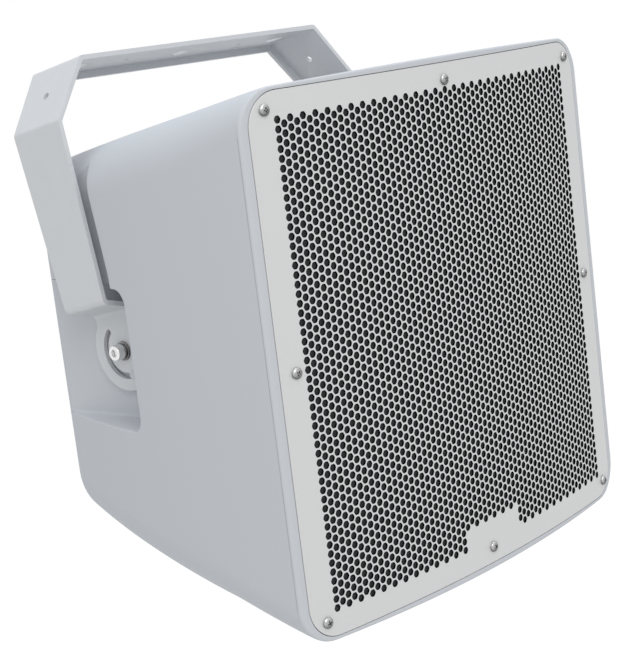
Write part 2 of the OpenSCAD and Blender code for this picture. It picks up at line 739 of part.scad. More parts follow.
yoke();
pivot_bushes();
cabinet_shell();
pivot_screws();
pivot_washers();
spring_washers();
friction_discs();
pivot_plates();
lock_inserts();
grille();
grille_backing();
grille_seal();
grille_screws();
grille_inserts();
baffle();
baffle_seal();
baffle_screws();
woofer_basket();
woofer_gasket();
woofer_screws();
surround();
cone();
coil_former();
coil_winding();
spider();
front_plate();
magnet_ring();
back_plate();
horn();
driver_adapter();
driver_body();
diaphragm();
driver_cap();
driver_screws();
crossover_board();
board_standoffs();
filter_coils();
filter_capacitors();
filter_resistors();
transformer_core();
transformer_winding();
transformer_bracket();
input_plate();
input_seal();
input_screws();
terminal_block();
gland_bodies();
gland_nuts();
gland_seals();
damping_foam();
inner_wires();
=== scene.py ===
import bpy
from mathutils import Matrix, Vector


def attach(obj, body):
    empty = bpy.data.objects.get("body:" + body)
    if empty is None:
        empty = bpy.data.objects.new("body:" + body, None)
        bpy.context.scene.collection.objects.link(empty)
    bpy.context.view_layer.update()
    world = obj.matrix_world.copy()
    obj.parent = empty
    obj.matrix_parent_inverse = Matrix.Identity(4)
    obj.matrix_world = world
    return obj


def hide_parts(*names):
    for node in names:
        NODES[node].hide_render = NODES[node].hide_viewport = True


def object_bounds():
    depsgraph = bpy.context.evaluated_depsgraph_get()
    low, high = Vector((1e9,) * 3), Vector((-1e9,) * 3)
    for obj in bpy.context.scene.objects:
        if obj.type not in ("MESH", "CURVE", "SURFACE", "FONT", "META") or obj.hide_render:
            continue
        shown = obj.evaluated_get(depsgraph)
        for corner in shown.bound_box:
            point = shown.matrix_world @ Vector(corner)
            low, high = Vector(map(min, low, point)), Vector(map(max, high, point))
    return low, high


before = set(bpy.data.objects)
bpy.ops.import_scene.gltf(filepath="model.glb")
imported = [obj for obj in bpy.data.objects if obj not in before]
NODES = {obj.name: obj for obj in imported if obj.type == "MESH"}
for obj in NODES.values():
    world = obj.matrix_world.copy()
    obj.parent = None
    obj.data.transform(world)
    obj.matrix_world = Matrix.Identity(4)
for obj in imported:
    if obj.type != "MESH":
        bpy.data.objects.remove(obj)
CAD_BOX = [list(corner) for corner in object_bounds()]

import math

import bmesh
import bpy
import numpy as np
from mathutils import Matrix, Vector
from mathutils.geometry import delaunay_2d_cdt

bl_info = {
    "name": "Yoke Loudspeaker",
    "version": (1, 0, 0),
    "blender": (4, 5, 0),
    "location": "View3D > Sidebar > Loudspeaker",
    "description": "Visible pieces, finishes and stage of a loudspeaker that hangs in a yoke",
    "category": "Object",
}

# The cabinet's own frame: origin at the grille's centre, front toward -Y, leaned back under the yoke
PIVOT_Y = 0.2384
YOKE_DROP = 0.2404
TILT = math.radians(10.6)


def to_row(points):
    """Points of the cabinet's frame, in the frame of the CAD model."""
    p = np.asarray(points, float).reshape(-1, 3)
    c, s = math.cos(TILT), math.sin(TILT)
    y, z = p[:, 1] - PIVOT_Y, p[:, 2]
    return np.column_stack([p[:, 0], y * c - z * s, y * s + z * c - YOKE_DROP])


def turn_to_row(direction):
    """A direction of the cabinet's frame, in the frame of the CAD model."""
    c, s = math.cos(TILT), math.sin(TILT)
    x, y, z = direction
    return Vector((x, y * c - z * s, y * s + z * c))


# ---------------------------------------------------------------- settings


class LoudspeakerCabinetSettings(bpy.types.PropertyGroup):
    """Sizes of the moulded cabinet"""

    front_width: bpy.props.FloatProperty(name="Front width", subtype="DISTANCE", unit="LENGTH",
        description="Width across the front rim", default=0.431, precision=4)
    front_height: bpy.props.FloatProperty(name="Front height", subtype="DISTANCE", unit="LENGTH",
        description="Height across the front rim", default=0.4175, precision=4)
    depth: bpy.props.FloatProperty(name="Depth", subtype="DISTANCE", unit="LENGTH",
        description="Grille's centre to the rear wall", default=0.34, precision=4)
    bow_radius: bpy.props.FloatProperty(name="Bow radius", subtype="DISTANCE", unit="LENGTH",
        description="Radius of the bowed front in plan", default=1.242, precision=4)
    rim_rounding: bpy.props.FloatProperty(name="Rim rounding", subtype="DISTANCE", unit="LENGTH",
        description="Rounding of the front rim's outer edge", default=0.002, precision=4)
    channel_rounding: bpy.props.FloatProperty(name="Channel rounding", subtype="DISTANCE", unit="LENGTH",
        description="Rounding of the edge in front of the yoke's arm", default=0.007, precision=4)


class LoudspeakerGrilleSettings(bpy.types.PropertyGroup):
    """Sizes of the perforated grille"""

    hole_pitch: bpy.props.FloatProperty(name="Hole pitch", subtype="DISTANCE", unit="LENGTH",
        description="Pitch of the holes up a column", default=0.007, precision=4)
    hole_across: bpy.props.FloatProperty(name="Hole across flats", subtype="DISTANCE", unit="LENGTH",
        description="Width of a hole between its flat sides", default=0.0057, precision=4)
    columns: bpy.props.IntProperty(name="Columns each side",
        description="Columns of holes on each side of the middle column", default=30)


class LoudspeakerYokeSettings(bpy.types.PropertyGroup):
    """Edges and fasteners of the yoke"""

    edge_break: bpy.props.FloatProperty(name="Edge break", subtype="DISTANCE", unit="LENGTH",
        description="Rounding of the sheet's cut edges under the paint", default=0.0006, precision=5)
    knurls: bpy.props.IntProperty(name="Knurls",
        description="Ridges round the head of each pivot screw", default=44)


class LoudspeakerFinishSettings(bpy.types.PropertyGroup):
    """Colours of the finishes"""

    cabinet: bpy.props.FloatVectorProperty(name="Cabinet", subtype="COLOR", size=3,
        description="Moulded plastic of the cabinet", default=(0.575, 0.585, 0.605))
    yoke: bpy.props.FloatVectorProperty(name="Yoke", subtype="COLOR", size=3,
        description="Powder coat of the yoke", default=(0.61, 0.62, 0.635))
    grille: bpy.props.FloatVectorProperty(name="Grille", subtype="COLOR", size=3,
        description="Powder coat of the grille", default=(0.665, 0.665, 0.66))
    steel: bpy.props.FloatVectorProperty(name="Bright steel", subtype="COLOR", size=3,
        description="Bare steel of the visible screws", default=(0.72, 0.72, 0.71))
    backing: bpy.props.FloatVectorProperty(name="Backing", subtype="COLOR", size=3,
        description="Foam behind the grille", default=(0.004, 0.004, 0.005))


class LoudspeakerStageSettings(bpy.types.PropertyGroup):
    """Camera, floor and light"""

    lens: bpy.props.FloatProperty(name="Lens", unit="CAMERA",
        description="Focal length for a 36 mm sensor", default=96.89)
    floor_drop: bpy.props.FloatProperty(name="Floor drop", subtype="DISTANCE", unit="LENGTH",
        description="Floor below the lowest point of the loudspeaker", default=0.55, precision=3)
    sky: bpy.props.FloatProperty(name="Sky", description="Strength of the light from all round", default=0.72)
    key: bpy.props.FloatProperty(name="Key", unit="POWER",
        description="Power of the large soft lamp in front", default=26.0)


# ---------------------------------------------------------------- mesh tools


def new_mesh(name, verts, faces, merge=2e-6):
    """A mesh whose points that meet are merged, with no empty faces and all faces turned outward."""
    mesh = bpy.data.meshes.new(name)
    mesh.from_pydata(np.asarray(verts).tolist(), [], faces)
    bm = bmesh.new()
    bm.from_mesh(mesh)
    bmesh.ops.remove_doubles(bm, verts=bm.verts, dist=merge)
    bmesh.ops.dissolve_degenerate(bm, dist=merge, edges=bm.edges)
    bmesh.ops.recalc_face_normals(bm, faces=bm.faces)
    bm.to_mesh(mesh)
    bm.free()
    return mesh


def linked(name, data):
    """An object of the scene for a mesh, a lamp or a camera."""
    made = bpy.data.objects.new(name, data)
    bpy.context.scene.collection.objects.link(made)
    return made


def dress_piece(mesh, body, material, nodes, smooth=None):
    """Makes a mesh a piece, with its normals, finish and body and the CAD node that it replaces."""
    mesh.validate()
    if smooth is not None:
        mesh.shade_smooth()
        mesh.set_sharp_from_angle(angle=math.radians(smooth))
    mesh.materials.clear()
    mesh.materials.append(material)
    piece = linked(mesh.name, mesh)
    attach(piece, body)
    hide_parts(nodes)


def rings_to_faces(count, length):
    """Quads between rings that follow each other, each of the same length and closed."""
    k = np.arange(count - 1)[:, None] * length
    j = np.arange(length)[None, :]
    i = (j + 1) % length
    quads = np.stack([k + j, k + length + j, k + length + i, k + i], axis=-1)
    return quads.reshape(-1, 4).tolist()


def softened_copy(node, name, width, segments=2, angle=32):
    """A copy of a CAD node's mesh with its sharp edges rounded."""
    mesh = NODES[node].data.copy()
    mesh.name = name
    bm = bmesh.new()
    bm.from_mesh(mesh)
    bmesh.ops.remove_doubles(bm, verts=bm.verts, dist=1e-6)
    bmesh.ops.dissolve_limit(bm, angle_limit=math.radians(0.6), verts=bm.verts, edges=bm.edges,
        use_dissolve_boundaries=False, delimit={"NORMAL"})
    bmesh.ops.recalc_face_normals(bm, faces=bm.faces)
    sharp = [e for e in bm.edges if e.is_manifold and e.calc_face_angle(0) > math.radians(angle)]
    bmesh.ops.bevel(bm, geom=sharp, offset=width, segments=segments, profile=0.5,
        affect="EDGES", clamp_overlap=True)
    bm.to_mesh(mesh)
    bm.free()
    return mesh


def with_modifier(mesh, kind, **settings):
    """The mesh as a modifier leaves it, under its own name."""
    holder = linked("holder", mesh)
    modifier = holder.modifiers.new(kind.lower(), kind)
    for key, value in settings.items():
        setattr(modifier, key, value)
    bpy.context.view_layer.update()
    made = bpy.data.meshes.new_from_object(holder.evaluated_get(bpy.context.evaluated_depsgraph_get()))
    bpy.data.objects.remove(holder)
    name, mesh.name = mesh.name, mesh.name + "_before"
    made.name = name
    return made


def circle(steps):
    """Angles of points round a full turn."""
    return np.arange(steps) * 2 * math.pi / steps


def level_ring(radius, angles, height):
    """Points round Z at one height, with one radius or one for each angle."""
    return np.column_stack([radius * np.cos(angles), radius * np.sin(angles), np.full(len(angles), height)])


def lathe(profile, steps):
    """Points and faces of a profile of (radius, height) turned about Z, with flat ends."""
    faces = rings_to_faces(len(profile), steps)
    last = (len(profile) - 1) * steps
    faces += [list(range(steps)), [last + steps - 1 - i for i in range(steps)]]
    return np.vstack([level_ring(r, circle(steps), h) for r, h in profile]), faces


def merged(parts):
    """Several (points, faces) as one."""
    verts, faces, start = [], [], 0
    for v, f in parts:
        verts.append(np.asarray(v))
        faces += [[i + start for i in face] for face in f]
        start += len(v)
    return np.vstack(verts), faces


def placed(verts, origin, along, up=(0, 0, 1)):
    """Points of a turned piece, moved so that its Z points along a direction."""
    z = Vector(along).normalized()
    x = Vector(up).cross(z).normalized()
    y = z.cross(x)
    m = np.array([x, y, z]).T
    return np.asarray(verts) @ m.T + np.array(origin)


# ---------------------------------------------------------------- finishes


class Tree:
    """Short hand for building a node tree."""

    def __init__(self, tree):
        self.tree = tree

    def feed(self, socket, value):
        """Links an output to an input, or sets the input to a constant."""
        if isinstance(value, bpy.types.NodeSocket):
            self.tree.links.new(value, socket)
        else:
            socket.default_value = value

    def add(self, kind, inputs=(), **values):
        node = self.tree.nodes.new(kind)
        for key, value in values.items():
            setattr(node, key, value)
        for key, value in dict(inputs).items():
            self.feed(node.inputs[key], value)
        return node

    def math(self, operation, a, b=0.0, clamp=False):
        return self.add("ShaderNodeMath", {0: a, 1: b}, operation=operation, use_clamp=clamp).outputs[0]

    def mix(self, factor, a, b):
        return self.add("ShaderNodeMix", {0: factor, 6: a, 7: b}, data_type="RGBA").outputs[2]

    def noise(self, vector, scale, detail=3.0, roughness=0.5):
        return self.add("ShaderNodeTexNoise", {"Vector": vector, "Scale": scale, "Detail": detail,
            "Roughness": roughness}).outputs["Fac"]

    def span(self, value, low, high, to_low=0.0, to_high=1.0):
        return self.add("ShaderNodeMapRange", {"Value": value, "From Min": low, "From Max": high,
            "To Min": to_low, "To Max": to_high}).outputs[0]

    def swing(self, base, value, amount):
        """A base that goes up and down with a noise."""
        return self.math("ADD", base, self.math("MULTIPLY", self.math("SUBTRACT", value, 0.5), amount))

    def scaled(self, colour, factor):
        return self.add("ShaderNodeVectorMath", {0: colour, "Scale": factor}, operation="SCALE").outputs[0]


def new_group(name, inputs, outputs):
    """An empty shader node group, the place on the object, and what goes in and out of it."""
    group = bpy.data.node_groups.new(name, "ShaderNodeTree")
    kinds = {"Colour": "NodeSocketColor"}
    for label, default in inputs.items():
        group.interface.new_socket(name=label, in_out="INPUT",
            socket_type=kinds.get(label, "NodeSocketFloat")).default_value = default
    for label in outputs:
        group.interface.new_socket(name=label, in_out="OUTPUT",
            socket_type=kinds.get(label, "NodeSocketFloat"))
    tree = Tree(group)
    where = tree.add("ShaderNodeTexCoord").outputs["Object"]
    return tree, where, tree.add("NodeGroupInput").outputs, tree.add("NodeGroupOutput").inputs


def group_paint_skin():
    """Powder coat: a fine orange peel, a slow drift of tone and a few specks."""
    tree, where, ins, outs = new_group("Paint Skin",
        {"Colour": (0.6, 0.6, 0.6, 1), "Peel": 900.0, "Drift": 0.03, "Roughness": 0.42},
        ("Colour", "Roughness", "Height"))
    peel = tree.noise(where, ins["Peel"], 2.0, 0.45)
    cloud = tree.noise(where, 9.0, 4.0, 0.55)
    speck = tree.span(tree.noise(where, 2600.0, 1.0), 0.62, 0.74)
    plain = tree.math("SUBTRACT", 1.0, tree.math("MULTIPLY", speck, 0.035))
    tree.feed(outs["Colour"], tree.scaled(ins["Colour"], tree.swing(plain, cloud, ins["Drift"])))
    tree.feed(outs["Roughness"], tree.swing(ins["Roughness"], cloud, 0.12))
    tree.feed(outs["Height"], tree.math("ADD", peel, tree.math("MULTIPLY", speck, 0.25)))
    return tree.tree


def group_moulded_grain():
    """Fine spark-eroded grain of moulded plastic, with a slow drift of tone."""
    tree, where, ins, outs = new_group("Moulded Grain",
        {"Colour": (0.5, 0.5, 0.5, 1), "Grain": 1400.0, "Drift": 0.03, "Roughness": 0.5},
        ("Colour", "Roughness", "Height"))
    fine = tree.noise(where, ins["Grain"], 3.0, 0.6)
    cells = tree.add("ShaderNodeTexVoronoi", {"Vector": where, "Scale": ins["Grain"]},
        feature="SMOOTH_F1").outputs["Distance"]
    cloud = tree.noise(where, 6.0, 4.0, 0.5)
    pits = tree.span(fine, 0.35, 0.65, 0.965, 1.02)
    tone = tree.math("MULTIPLY", tree.swing(1.0, cloud, ins["Drift"]), pits)
    tree.feed(outs["Colour"], tree.scaled(ins["Colour"], tone))
    tree.feed(outs["Roughness"], tree.swing(ins["Roughness"], fine, 0.14))
    tree.feed(outs["Height"], tree.math("ADD", fine, tree.math("MULTIPLY", cells, 0.6)))
    return tree.tree


def group_dust_and_wear():
    """Thin dust on what faces up, and a lighter rubbed tone on the outer edges."""
    tree, where, ins, outs = new_group("Dust And Wear",
        {"Colour": (0.5, 0.5, 0.5, 1), "Dust": 0.1, "Wear": 0.3}, ("Colour",))
    geometry = tree.add("ShaderNodeNewGeometry")
    up = tree.add("ShaderNodeSeparateXYZ", {0: geometry.outputs["Normal"]}).outputs["Z"]
    cloud = tree.noise(where, 22.0, 5.0, 0.6)
    lying = tree.math("MULTIPLY", tree.span(up, 0.35, 1.0), tree.span(cloud, 0.35, 0.7), clamp=True)
    dust = tree.math("MULTIPLY", lying, ins["Dust"], clamp=True)
    rubbed = tree.span(geometry.outputs["Pointiness"], 0.53, 0.6)
    broken = tree.span(tree.noise(where, 60.0, 4.0, 0.6), 0.4, 0.62)
    wear = tree.math("MULTIPLY", tree.math("MULTIPLY", rubbed, broken), ins["Wear"], clamp=True)
    dusted = tree.mix(dust, ins["Colour"], (0.62, 0.6, 0.56, 1))
    tree.feed(outs["Colour"], tree.mix(wear, dusted, (0.8, 0.81, 0.82, 1)))
    return tree.tree


def group_turned_metal_and_painted_light():
    """Fine lines and handling marks of bare metal, with a painted highlight where it faces the light's side
    and painted shade where it faces away.
    """
    tree, where, ins, outs = new_group("Turned Metal",
        {"Colour": (0.7, 0.7, 0.7, 1), "Lines": 2500.0, "Roughness": 0.22}, ("Colour", "Roughness", "Height"))
    marks = tree.noise(where, 320.0, 4.0, 0.62)
    facing = tree.add("ShaderNodeVectorMath", {0: tree.add("ShaderNodeNewGeometry").outputs["Normal"],
        1: PAINTED_LIGHT_SIDE}, operation="DOT_PRODUCT").outputs["Value"]
    # Painted highlight and painted shade: brighter where the normal faces the fixed light side, darker where
    # it faces away
    painted_light = tree.span(facing, 0.0, 0.8, 0.28, 1.0)
    tone = tree.math("MULTIPLY", tree.span(marks, 0.3, 0.7, 0.9, 1.04), painted_light)
    tree.feed(outs["Colour"], tree.scaled(ins["Colour"], tone))
    tree.feed(outs["Roughness"], tree.swing(ins["Roughness"], marks, 0.22))
    tree.feed(outs["Height"], tree.noise(where, ins["Lines"], 2.0, 0.5))
    return tree.tree


def group_soft_fibre():
    """Open cells or pressed fibres of foam, paper and cloth."""
    tree, where, ins, outs = new_group("Soft Fibre",
        {"Colour": (0.1, 0.1, 0.1, 1), "Cells": 700.0, "Contrast": 0.4}, ("Colour", "Height"))
    cells = tree.add("ShaderNodeTexVoronoi", {"Vector": where, "Scale": ins["Cells"]}).outputs["Distance"]
    fibre = tree.noise(where, ins["Cells"], 5.0, 0.7)
    tree.feed(outs["Colour"], tree.scaled(ins["Colour"], tree.swing(1.0, fibre, ins["Contrast"])))
    tree.feed(outs["Height"], tree.math("MULTIPLY", cells, fibre))
    return tree.tree


# The side toward which bare metal gets its painted highlight, with painted shade on the far side: up, to the
# left and to the front
PAINTED_LIGHT_SIDE = (-0.55, -0.35, 0.75)

GROUPS = {"paint": group_paint_skin, "grain": group_moulded_grain, "dust": group_dust_and_wear,
    "metal": group_turned_metal_and_painted_light, "fibre": group_soft_fibre}

# Each effect's input that takes the scale of its pattern
SCALE_INPUT = {"paint": "Peel", "grain": "Grain", "metal": "Lines", "fibre": "Cells"}

# Finish: its effect, a colour or the name of the colour in the settings, its scale, roughness, bump strength
# and what differs from the plain finish
FINISHES = {
    "cabinet_plastic": ("grain", "cabinet", 1500.0, 0.5, 0.16,
        {"depth": 0.00015, "drift": 0.035, "dust": 0.06, "wear": 0.18}),
    "yoke_paint": ("paint", "yoke", 750.0, 0.4, 0.12, {"depth": 0.00025, "dust": 0.05, "wear": 0.25}),
    "grille_paint": ("paint", "grille", 900.0, 0.45, 0.1, {"wear": 0.1}),
    # hole_shade is near-black painted shade for the walls of the grille's holes
    "hole_shade": ("paint", (0.003, 0.003, 0.003), 900.0, 0.9, 0.1, {"specular": 0.05}),
    "bright_steel": ("metal", "steel", 2600.0, 0.24, 0.05, {"depth": 0.0001, "metallic": 1.0}),
    "screw_steel": ("metal", (0.6, 0.6, 0.6), 2600.0, 0.24, 0.05, {"depth": 0.0001, "metallic": 1.0}),
    "dull_steel": ("metal", (0.3, 0.3, 0.3), 2000.0, 0.42, 0.08, {"depth": 0.0001, "metallic": 1.0}),
    "black_plastic": ("grain", (0.022, 0.022, 0.024), 1300.0, 0.48, 0.15, {"depth": 0.00015, "drift": 0.1}),
    "black_rubber": ("grain", (0.016, 0.016, 0.017), 900.0, 0.75, 0.2, {"drift": 0.1}),
    "black_foam": ("fibre", "backing", 650.0, 0.95, 0.8, {"depth": 0.0006, "specular": 0.1}),
    "zinc_plate": ("metal", (0.6, 0.6, 0.61), 1800.0, 0.35, 0.08, {"metallic": 1.0}),
    "laminated_iron": ("metal", (0.16, 0.16, 0.17), 900.0, 0.55, 0.2, {"metallic": 0.8}),
    "ferrite": ("grain", (0.045, 0.045, 0.05), 900.0, 0.6, 0.2, {}),
    "brass": ("metal", (0.72, 0.53, 0.26), 2200.0, 0.28, 0.06, {"metallic": 1.0}),
    "copper_wire": ("metal", (0.66, 0.3, 0.14), 1300.0, 0.3, 0.3,
        {"depth": 0.0004, "metallic": 0.9, "coat": 0.4}),
    "nylon": ("grain", (0.8, 0.78, 0.7), 1200.0, 0.5, 0.08, {}),
    "stained_plywood": ("fibre", (0.12, 0.08, 0.05), 260.0, 0.6, 0.3, {"depth": 0.0004}),
    "cast_frame": ("grain", (0.04, 0.04, 0.043), 800.0, 0.5, 0.3, {"depth": 0.0004}),
    "paper_cone": ("fibre", (0.03, 0.03, 0.032), 500.0, 0.8, 0.5, {"depth": 0.0004, "sheen": 0.2}),
    "spider_cloth": ("fibre", (0.5, 0.34, 0.16), 900.0, 0.8, 0.6, {"depth": 0.0004, "sheen": 0.2}),
    "formed_foil": ("metal", (0.75, 0.76, 0.78), 1500.0, 0.2, 0.05, {"metallic": 1.0}),
    "circuit_board": ("grain", (0.02, 0.14, 0.05), 600.0, 0.35, 0.05, {"coat": 0.4}),
    "capacitor_film": ("grain", (0.05, 0.13, 0.36), 500.0, 0.3, 0.03, {"coat": 0.3}),
    "ceramic": ("grain", (0.8, 0.8, 0.77), 1500.0, 0.7, 0.2, {}),
    "green_plastic": ("grain", (0.05, 0.28, 0.14), 1200.0, 0.45, 0.08, {}),
    "red_insulation": ("grain", (0.45, 0.03, 0.02), 900.0, 0.4, 0.05, {}),
    "grey_foam": ("fibre", (0.13, 0.13, 0.14), 420.0, 0.95, 0.9, {"depth": 0.0008}),
    "plate_paint": ("paint", (0.42, 0.44, 0.47), 750.0, 0.42, 0.12, {"depth": 0.00025}),
}

# The CAD nodes that stay as they are, by finish
NODES_BY_FINISH = {
    "zinc_plate": ("pivot_plates", "baffle_screws", "woofer_screws", "driver_screws", "front_plate",
        "back_plate", "driver_adapter", "transformer_bracket", "input_screws"),
    "laminated_iron": ("transformer_core",),
    "ferrite": ("magnet_ring", "driver_body"),
    "brass": ("lock_inserts", "grille_inserts"),
    "copper_wire": ("coil_winding", "filter_coils", "transformer_winding"),
    "nylon": ("pivot_bushes", "coil_former", "board_standoffs"),
    "black_rubber": ("friction_discs", "grille_seal", "baffle_seal", "woofer_gasket", "input_seal",
        "gland_seals", "surround"),
    "black_foam": ("grille_backing",),
    "stained_plywood": ("baffle",),
    "cast_frame": ("woofer_basket",),
    "paper_cone": ("cone",),
    "spider_cloth": ("spider",),
    "black_plastic": ("horn", "driver_cap"),
    "formed_foil": ("diaphragm",),
    "circuit_board": ("crossover_board",),
    "capacitor_film": ("filter_capacitors",),
    "ceramic": ("filter_resistors",),
    "green_plastic": ("terminal_block",),
    "red_insulation": ("inner_wires",),
    "grey_foam": ("damping_foam",),
    "plate_paint": ("input_plate",),
}


def shared_group(name):
    """A shared effect, built the first time it is asked for."""
    built = bpy.context.scene.get("speaker_groups", {})
    if name not in built:
        group = GROUPS[name]()
        built = {**dict(built), name: group.name}
        bpy.context.scene["speaker_groups"] = built
    return bpy.data.node_groups[built[name]]


def finish(name):
    """A Principled finish whose colour, gloss and relief come from one of the shared effects."""
    found = bpy.data.materials.get(name)
    if found:
        return found
    kind, colour, scale, roughness, bump, rest = FINISHES[name]
    if isinstance(colour, str):
        colour = getattr(bpy.context.scene.speaker_finish, colour)
    material = bpy.data.materials.new(name)
    material.use_nodes = True
    material.node_tree.nodes.clear()
    tree = Tree(material.node_tree)
    shader = tree.add("ShaderNodeBsdfPrincipled", {"Roughness": roughness,
        "Metallic": rest.get("metallic", 0.0), "Coat Weight": rest.get("coat", 0.0),
        "Specular IOR Level": rest.get("specular", 0.5), "Sheen Weight": rest.get("sheen", 0.0)})
    surface = tree.add("ShaderNodeGroup", node_tree=shared_group(kind))
    surface.inputs["Colour"].default_value = (*colour, 1)
    surface.inputs[SCALE_INPUT[kind]].default_value = scale
    if "Drift" in surface.inputs:
        surface.inputs["Drift"].default_value = rest.get("drift", 0.03)
    if "Roughness" in surface.inputs:
        surface.inputs["Roughness"].default_value = roughness
        tree.feed(shader.inputs["Roughness"], surface.outputs["Roughness"])
    shown = surface.outputs["Colour"]
    if "dust" in rest or "wear" in rest:
        worn = tree.add("ShaderNodeGroup", node_tree=shared_group("dust"))
        tree.feed(worn.inputs["Colour"], shown)
        worn.inputs["Dust"].default_value = rest.get("dust", 0.0)
        worn.inputs["Wear"].default_value = rest.get("wear", 0.0)
        shown = worn.outputs["Colour"]
    tree.feed(shader.inputs["Base Color"], shown)
    relief = tree.add("ShaderNodeBump", {"Strength": bump, "Distance": rest.get("depth", 0.0002),
        "Height": surface.outputs["Height"]})
    tree.feed(shader.inputs["Normal"], relief.outputs[0])
    tree.add("ShaderNodeOutputMaterial", {"Surface": shader.outputs[0]})
    return material


# ---------------------------------------------------------------- cabinet

POCKET_FLOOR = 0.1496
POCKET_FRONT = 0.19
POCKET_HALF = 0.058
POCKET_CORNER = 0.014
POCKET_EDGE = 0.0012
POCKET_ROOT = 0.0025
POCKET_DRAFT = 0.0003
CHANNEL_FLOOR = 0.171
CHANNEL_FRONT = 0.214
CHANNEL_LEAN = 0.21
LEAN_FROM = 0.0667
LEAN_BAND = (0.15, 0.2, 0.24, 0.32)
LOCK_HOLE = (0.23108, -0.0201, 0.00405)
RECESS_HALF = (0.2077, 0.20345, 0.0275)
RECESS_DEPTH = 0.0035
FLANGE_BACK = 0.0135
OPENING_HALF = 0.1845
OPENING_CORNER = 0.012
RIM_BAND = 0.022
SIDE_SLOPE = 0.05
SIDE_CURVE = 0.56
TOP_SLOPE = 0.162
LONG_EDGE = 0.042
LONG_RUN = 0.08
RIM_CORNER = 0.031
REAR_ROUND = 0.02
WALL = 0.006
SIDE_LINES_END = 0.075
TOP_CORNER_LOW = 8
TOP_CORNER_HIGH = 10


def bow_depth(x, radius):
    """How far the bowed front lies behind its middle."""
    return radius - np.sqrt(radius * radius - x * x)


def behind_band(y):
    return np.maximum(0.0, y - RIM_BAND)


def half_width(y):
    t = behind_band(y)
    return bpy.context.scene.speaker_cabinet.front_width / 2 - SIDE_SLOPE * t - SIDE_CURVE * t * t


def half_height(y):
    return bpy.context.scene.speaker_cabinet.front_height / 2 - TOP_SLOPE * np.maximum(0.0, y)


def long_radius(y):
    return RIM_CORNER + (LONG_EDGE - RIM_CORNER) * np.minimum(1.0, behind_band(y) / LONG_RUN)


def fine_offsets():
    """Offsets from the pocket's outline, where its edge and root need lines."""
    edge = [POCKET_EDGE * f for f in (1.0, 0.62, 0.3, 0.1, 0.0)]
    root = [-POCKET_DRAFT - POCKET_ROOT * f for f in (0.0, 0.12, 0.3, 0.6, 1.0)]
    return edge + root


def side_lines():
    """Heights of the lines along a side wall, close together where the pocket's corners are."""
    corner = np.arange(POCKET_HALF - POCKET_CORNER - 0.003, POCKET_HALF - 0.0031, 0.0008)
    fine = [POCKET_HALF + o for o in fine_offsets()] + list(corner)
    fine += [POCKET_HALF + 0.003, POCKET_HALF + 0.007, 0.07]
    wide = [0.0, 0.012, 0.024, 0.034]
    upper = sorted(set(round(v, 6) for v in fine + wide))
    return [-v for v in reversed(upper) if v > 0] + upper


def ring_plan():
    """Kind and place of the points of half a ring, from the bottom's middle round +X to the top's middle."""
    flats = 14
    plan = [("bottom", f / flats) for f in range(flats)]
    plan += [("low_corner", f / 14) for f in range(15)]
    plan += [("low_side", f / 5) for f in range(1, 5)]
    plan += [("side", z) for z in side_lines()]
    plan += [("high_side", f / 5) for f in range(1, 5)]
    plan += [("high_corner", f) for f in range(TOP_CORNER_LOW + TOP_CORNER_HIGH + 1)]
    plan += [("top", 1 - f / flats) for f in range(1, flats + 1)]
    kinds = np.array([k for k, _ in plan])
    return kinds, np.array([v for _, v in plan], float)


def crease_angle(hw, radius):
    """Angle in the top corner where the arm's channel cuts it."""
    cosine = np.clip((CHANNEL_FLOOR - (hw - radius)) / radius, -1.0, 1.0)
    return np.clip(np.arccos(cosine), 0.06, math.radians(48.4))


def half_ring(plan, hw, hh, radius, inset_x=0.0, inset_z=0.0):
    """x and z of half a ring; all sizes may differ from point to point."""
    kinds, place = plan
    n = len(kinds)
    hw, hh, radius = (np.broadcast_to(np.asarray(v, float), (n,)) for v in (hw, hh, radius))
    inset_x, inset_z = (np.broadcast_to(np.asarray(v, float), (n,)) for v in (inset_x, inset_z))
    cx, cz = hw - radius, hh - radius
    rx, rz = radius - inset_x, radius - inset_z
    x, z = np.empty(n), np.empty(n)
    m = kinds == "bottom"
    x[m], z[m] = place[m] * cx[m], -(cz + rz)[m]
    m = kinds == "low_corner"
    a = -math.pi / 2 * (1 - place[m])
    x[m], z[m] = cx[m] + rx[m] * np.cos(a), -cz[m] + rz[m] * np.sin(a)
    m = kinds == "low_side"
    x[m], z[m] = (cx + rx)[m], -(cz[m] + (SIDE_LINES_END - cz[m]) * place[m])
    m = kinds == "side"
    x[m], z[m] = (cx + rx)[m], place[m]
    m = kinds == "high_side"
    x[m], z[m] = (cx + rx)[m], SIDE_LINES_END + (cz[m] - SIDE_LINES_END) * place[m]
    m = kinds == "high_corner"
    crease = crease_angle(hw[m], radius[m])
    low = np.minimum(place[m], TOP_CORNER_LOW) / TOP_CORNER_LOW
    high = np.maximum(0, place[m] - TOP_CORNER_LOW) / TOP_CORNER_HIGH
    a = crease * low + (math.pi / 2 - crease) * high
    x[m], z[m] = cx[m] + rx[m] * np.cos(a), cz[m] + rz[m] * np.sin(a)
    m = kinds == "top"
    x[m], z[m] = place[m] * cx[m], (cz + rz)[m]
    return x, z


def whole_ring(x, y, z):
    """A whole ring from its +X half; the points in the middle are there once."""
    y = np.broadcast_to(np.asarray(y, float), x.shape)
    half = np.column_stack([x, y, z])
    other = half[1:-1][::-1].copy()
    other[:, 0] *= -1
    return np.vstack([half, other])


def leaned(y, z):
    """Stations above the pocket moved rearward with height, so that the channel's front leans."""
    first, full, fading, last = LEAN_BAND
    near = np.clip((y - first) / (full - first), 0.0, 1.0) * np.clip((last - y) / (last - fading), 0.0, 1.0)
    return y + CHANNEL_LEAN * np.maximum(0.0, z - LEAN_FROM) * near


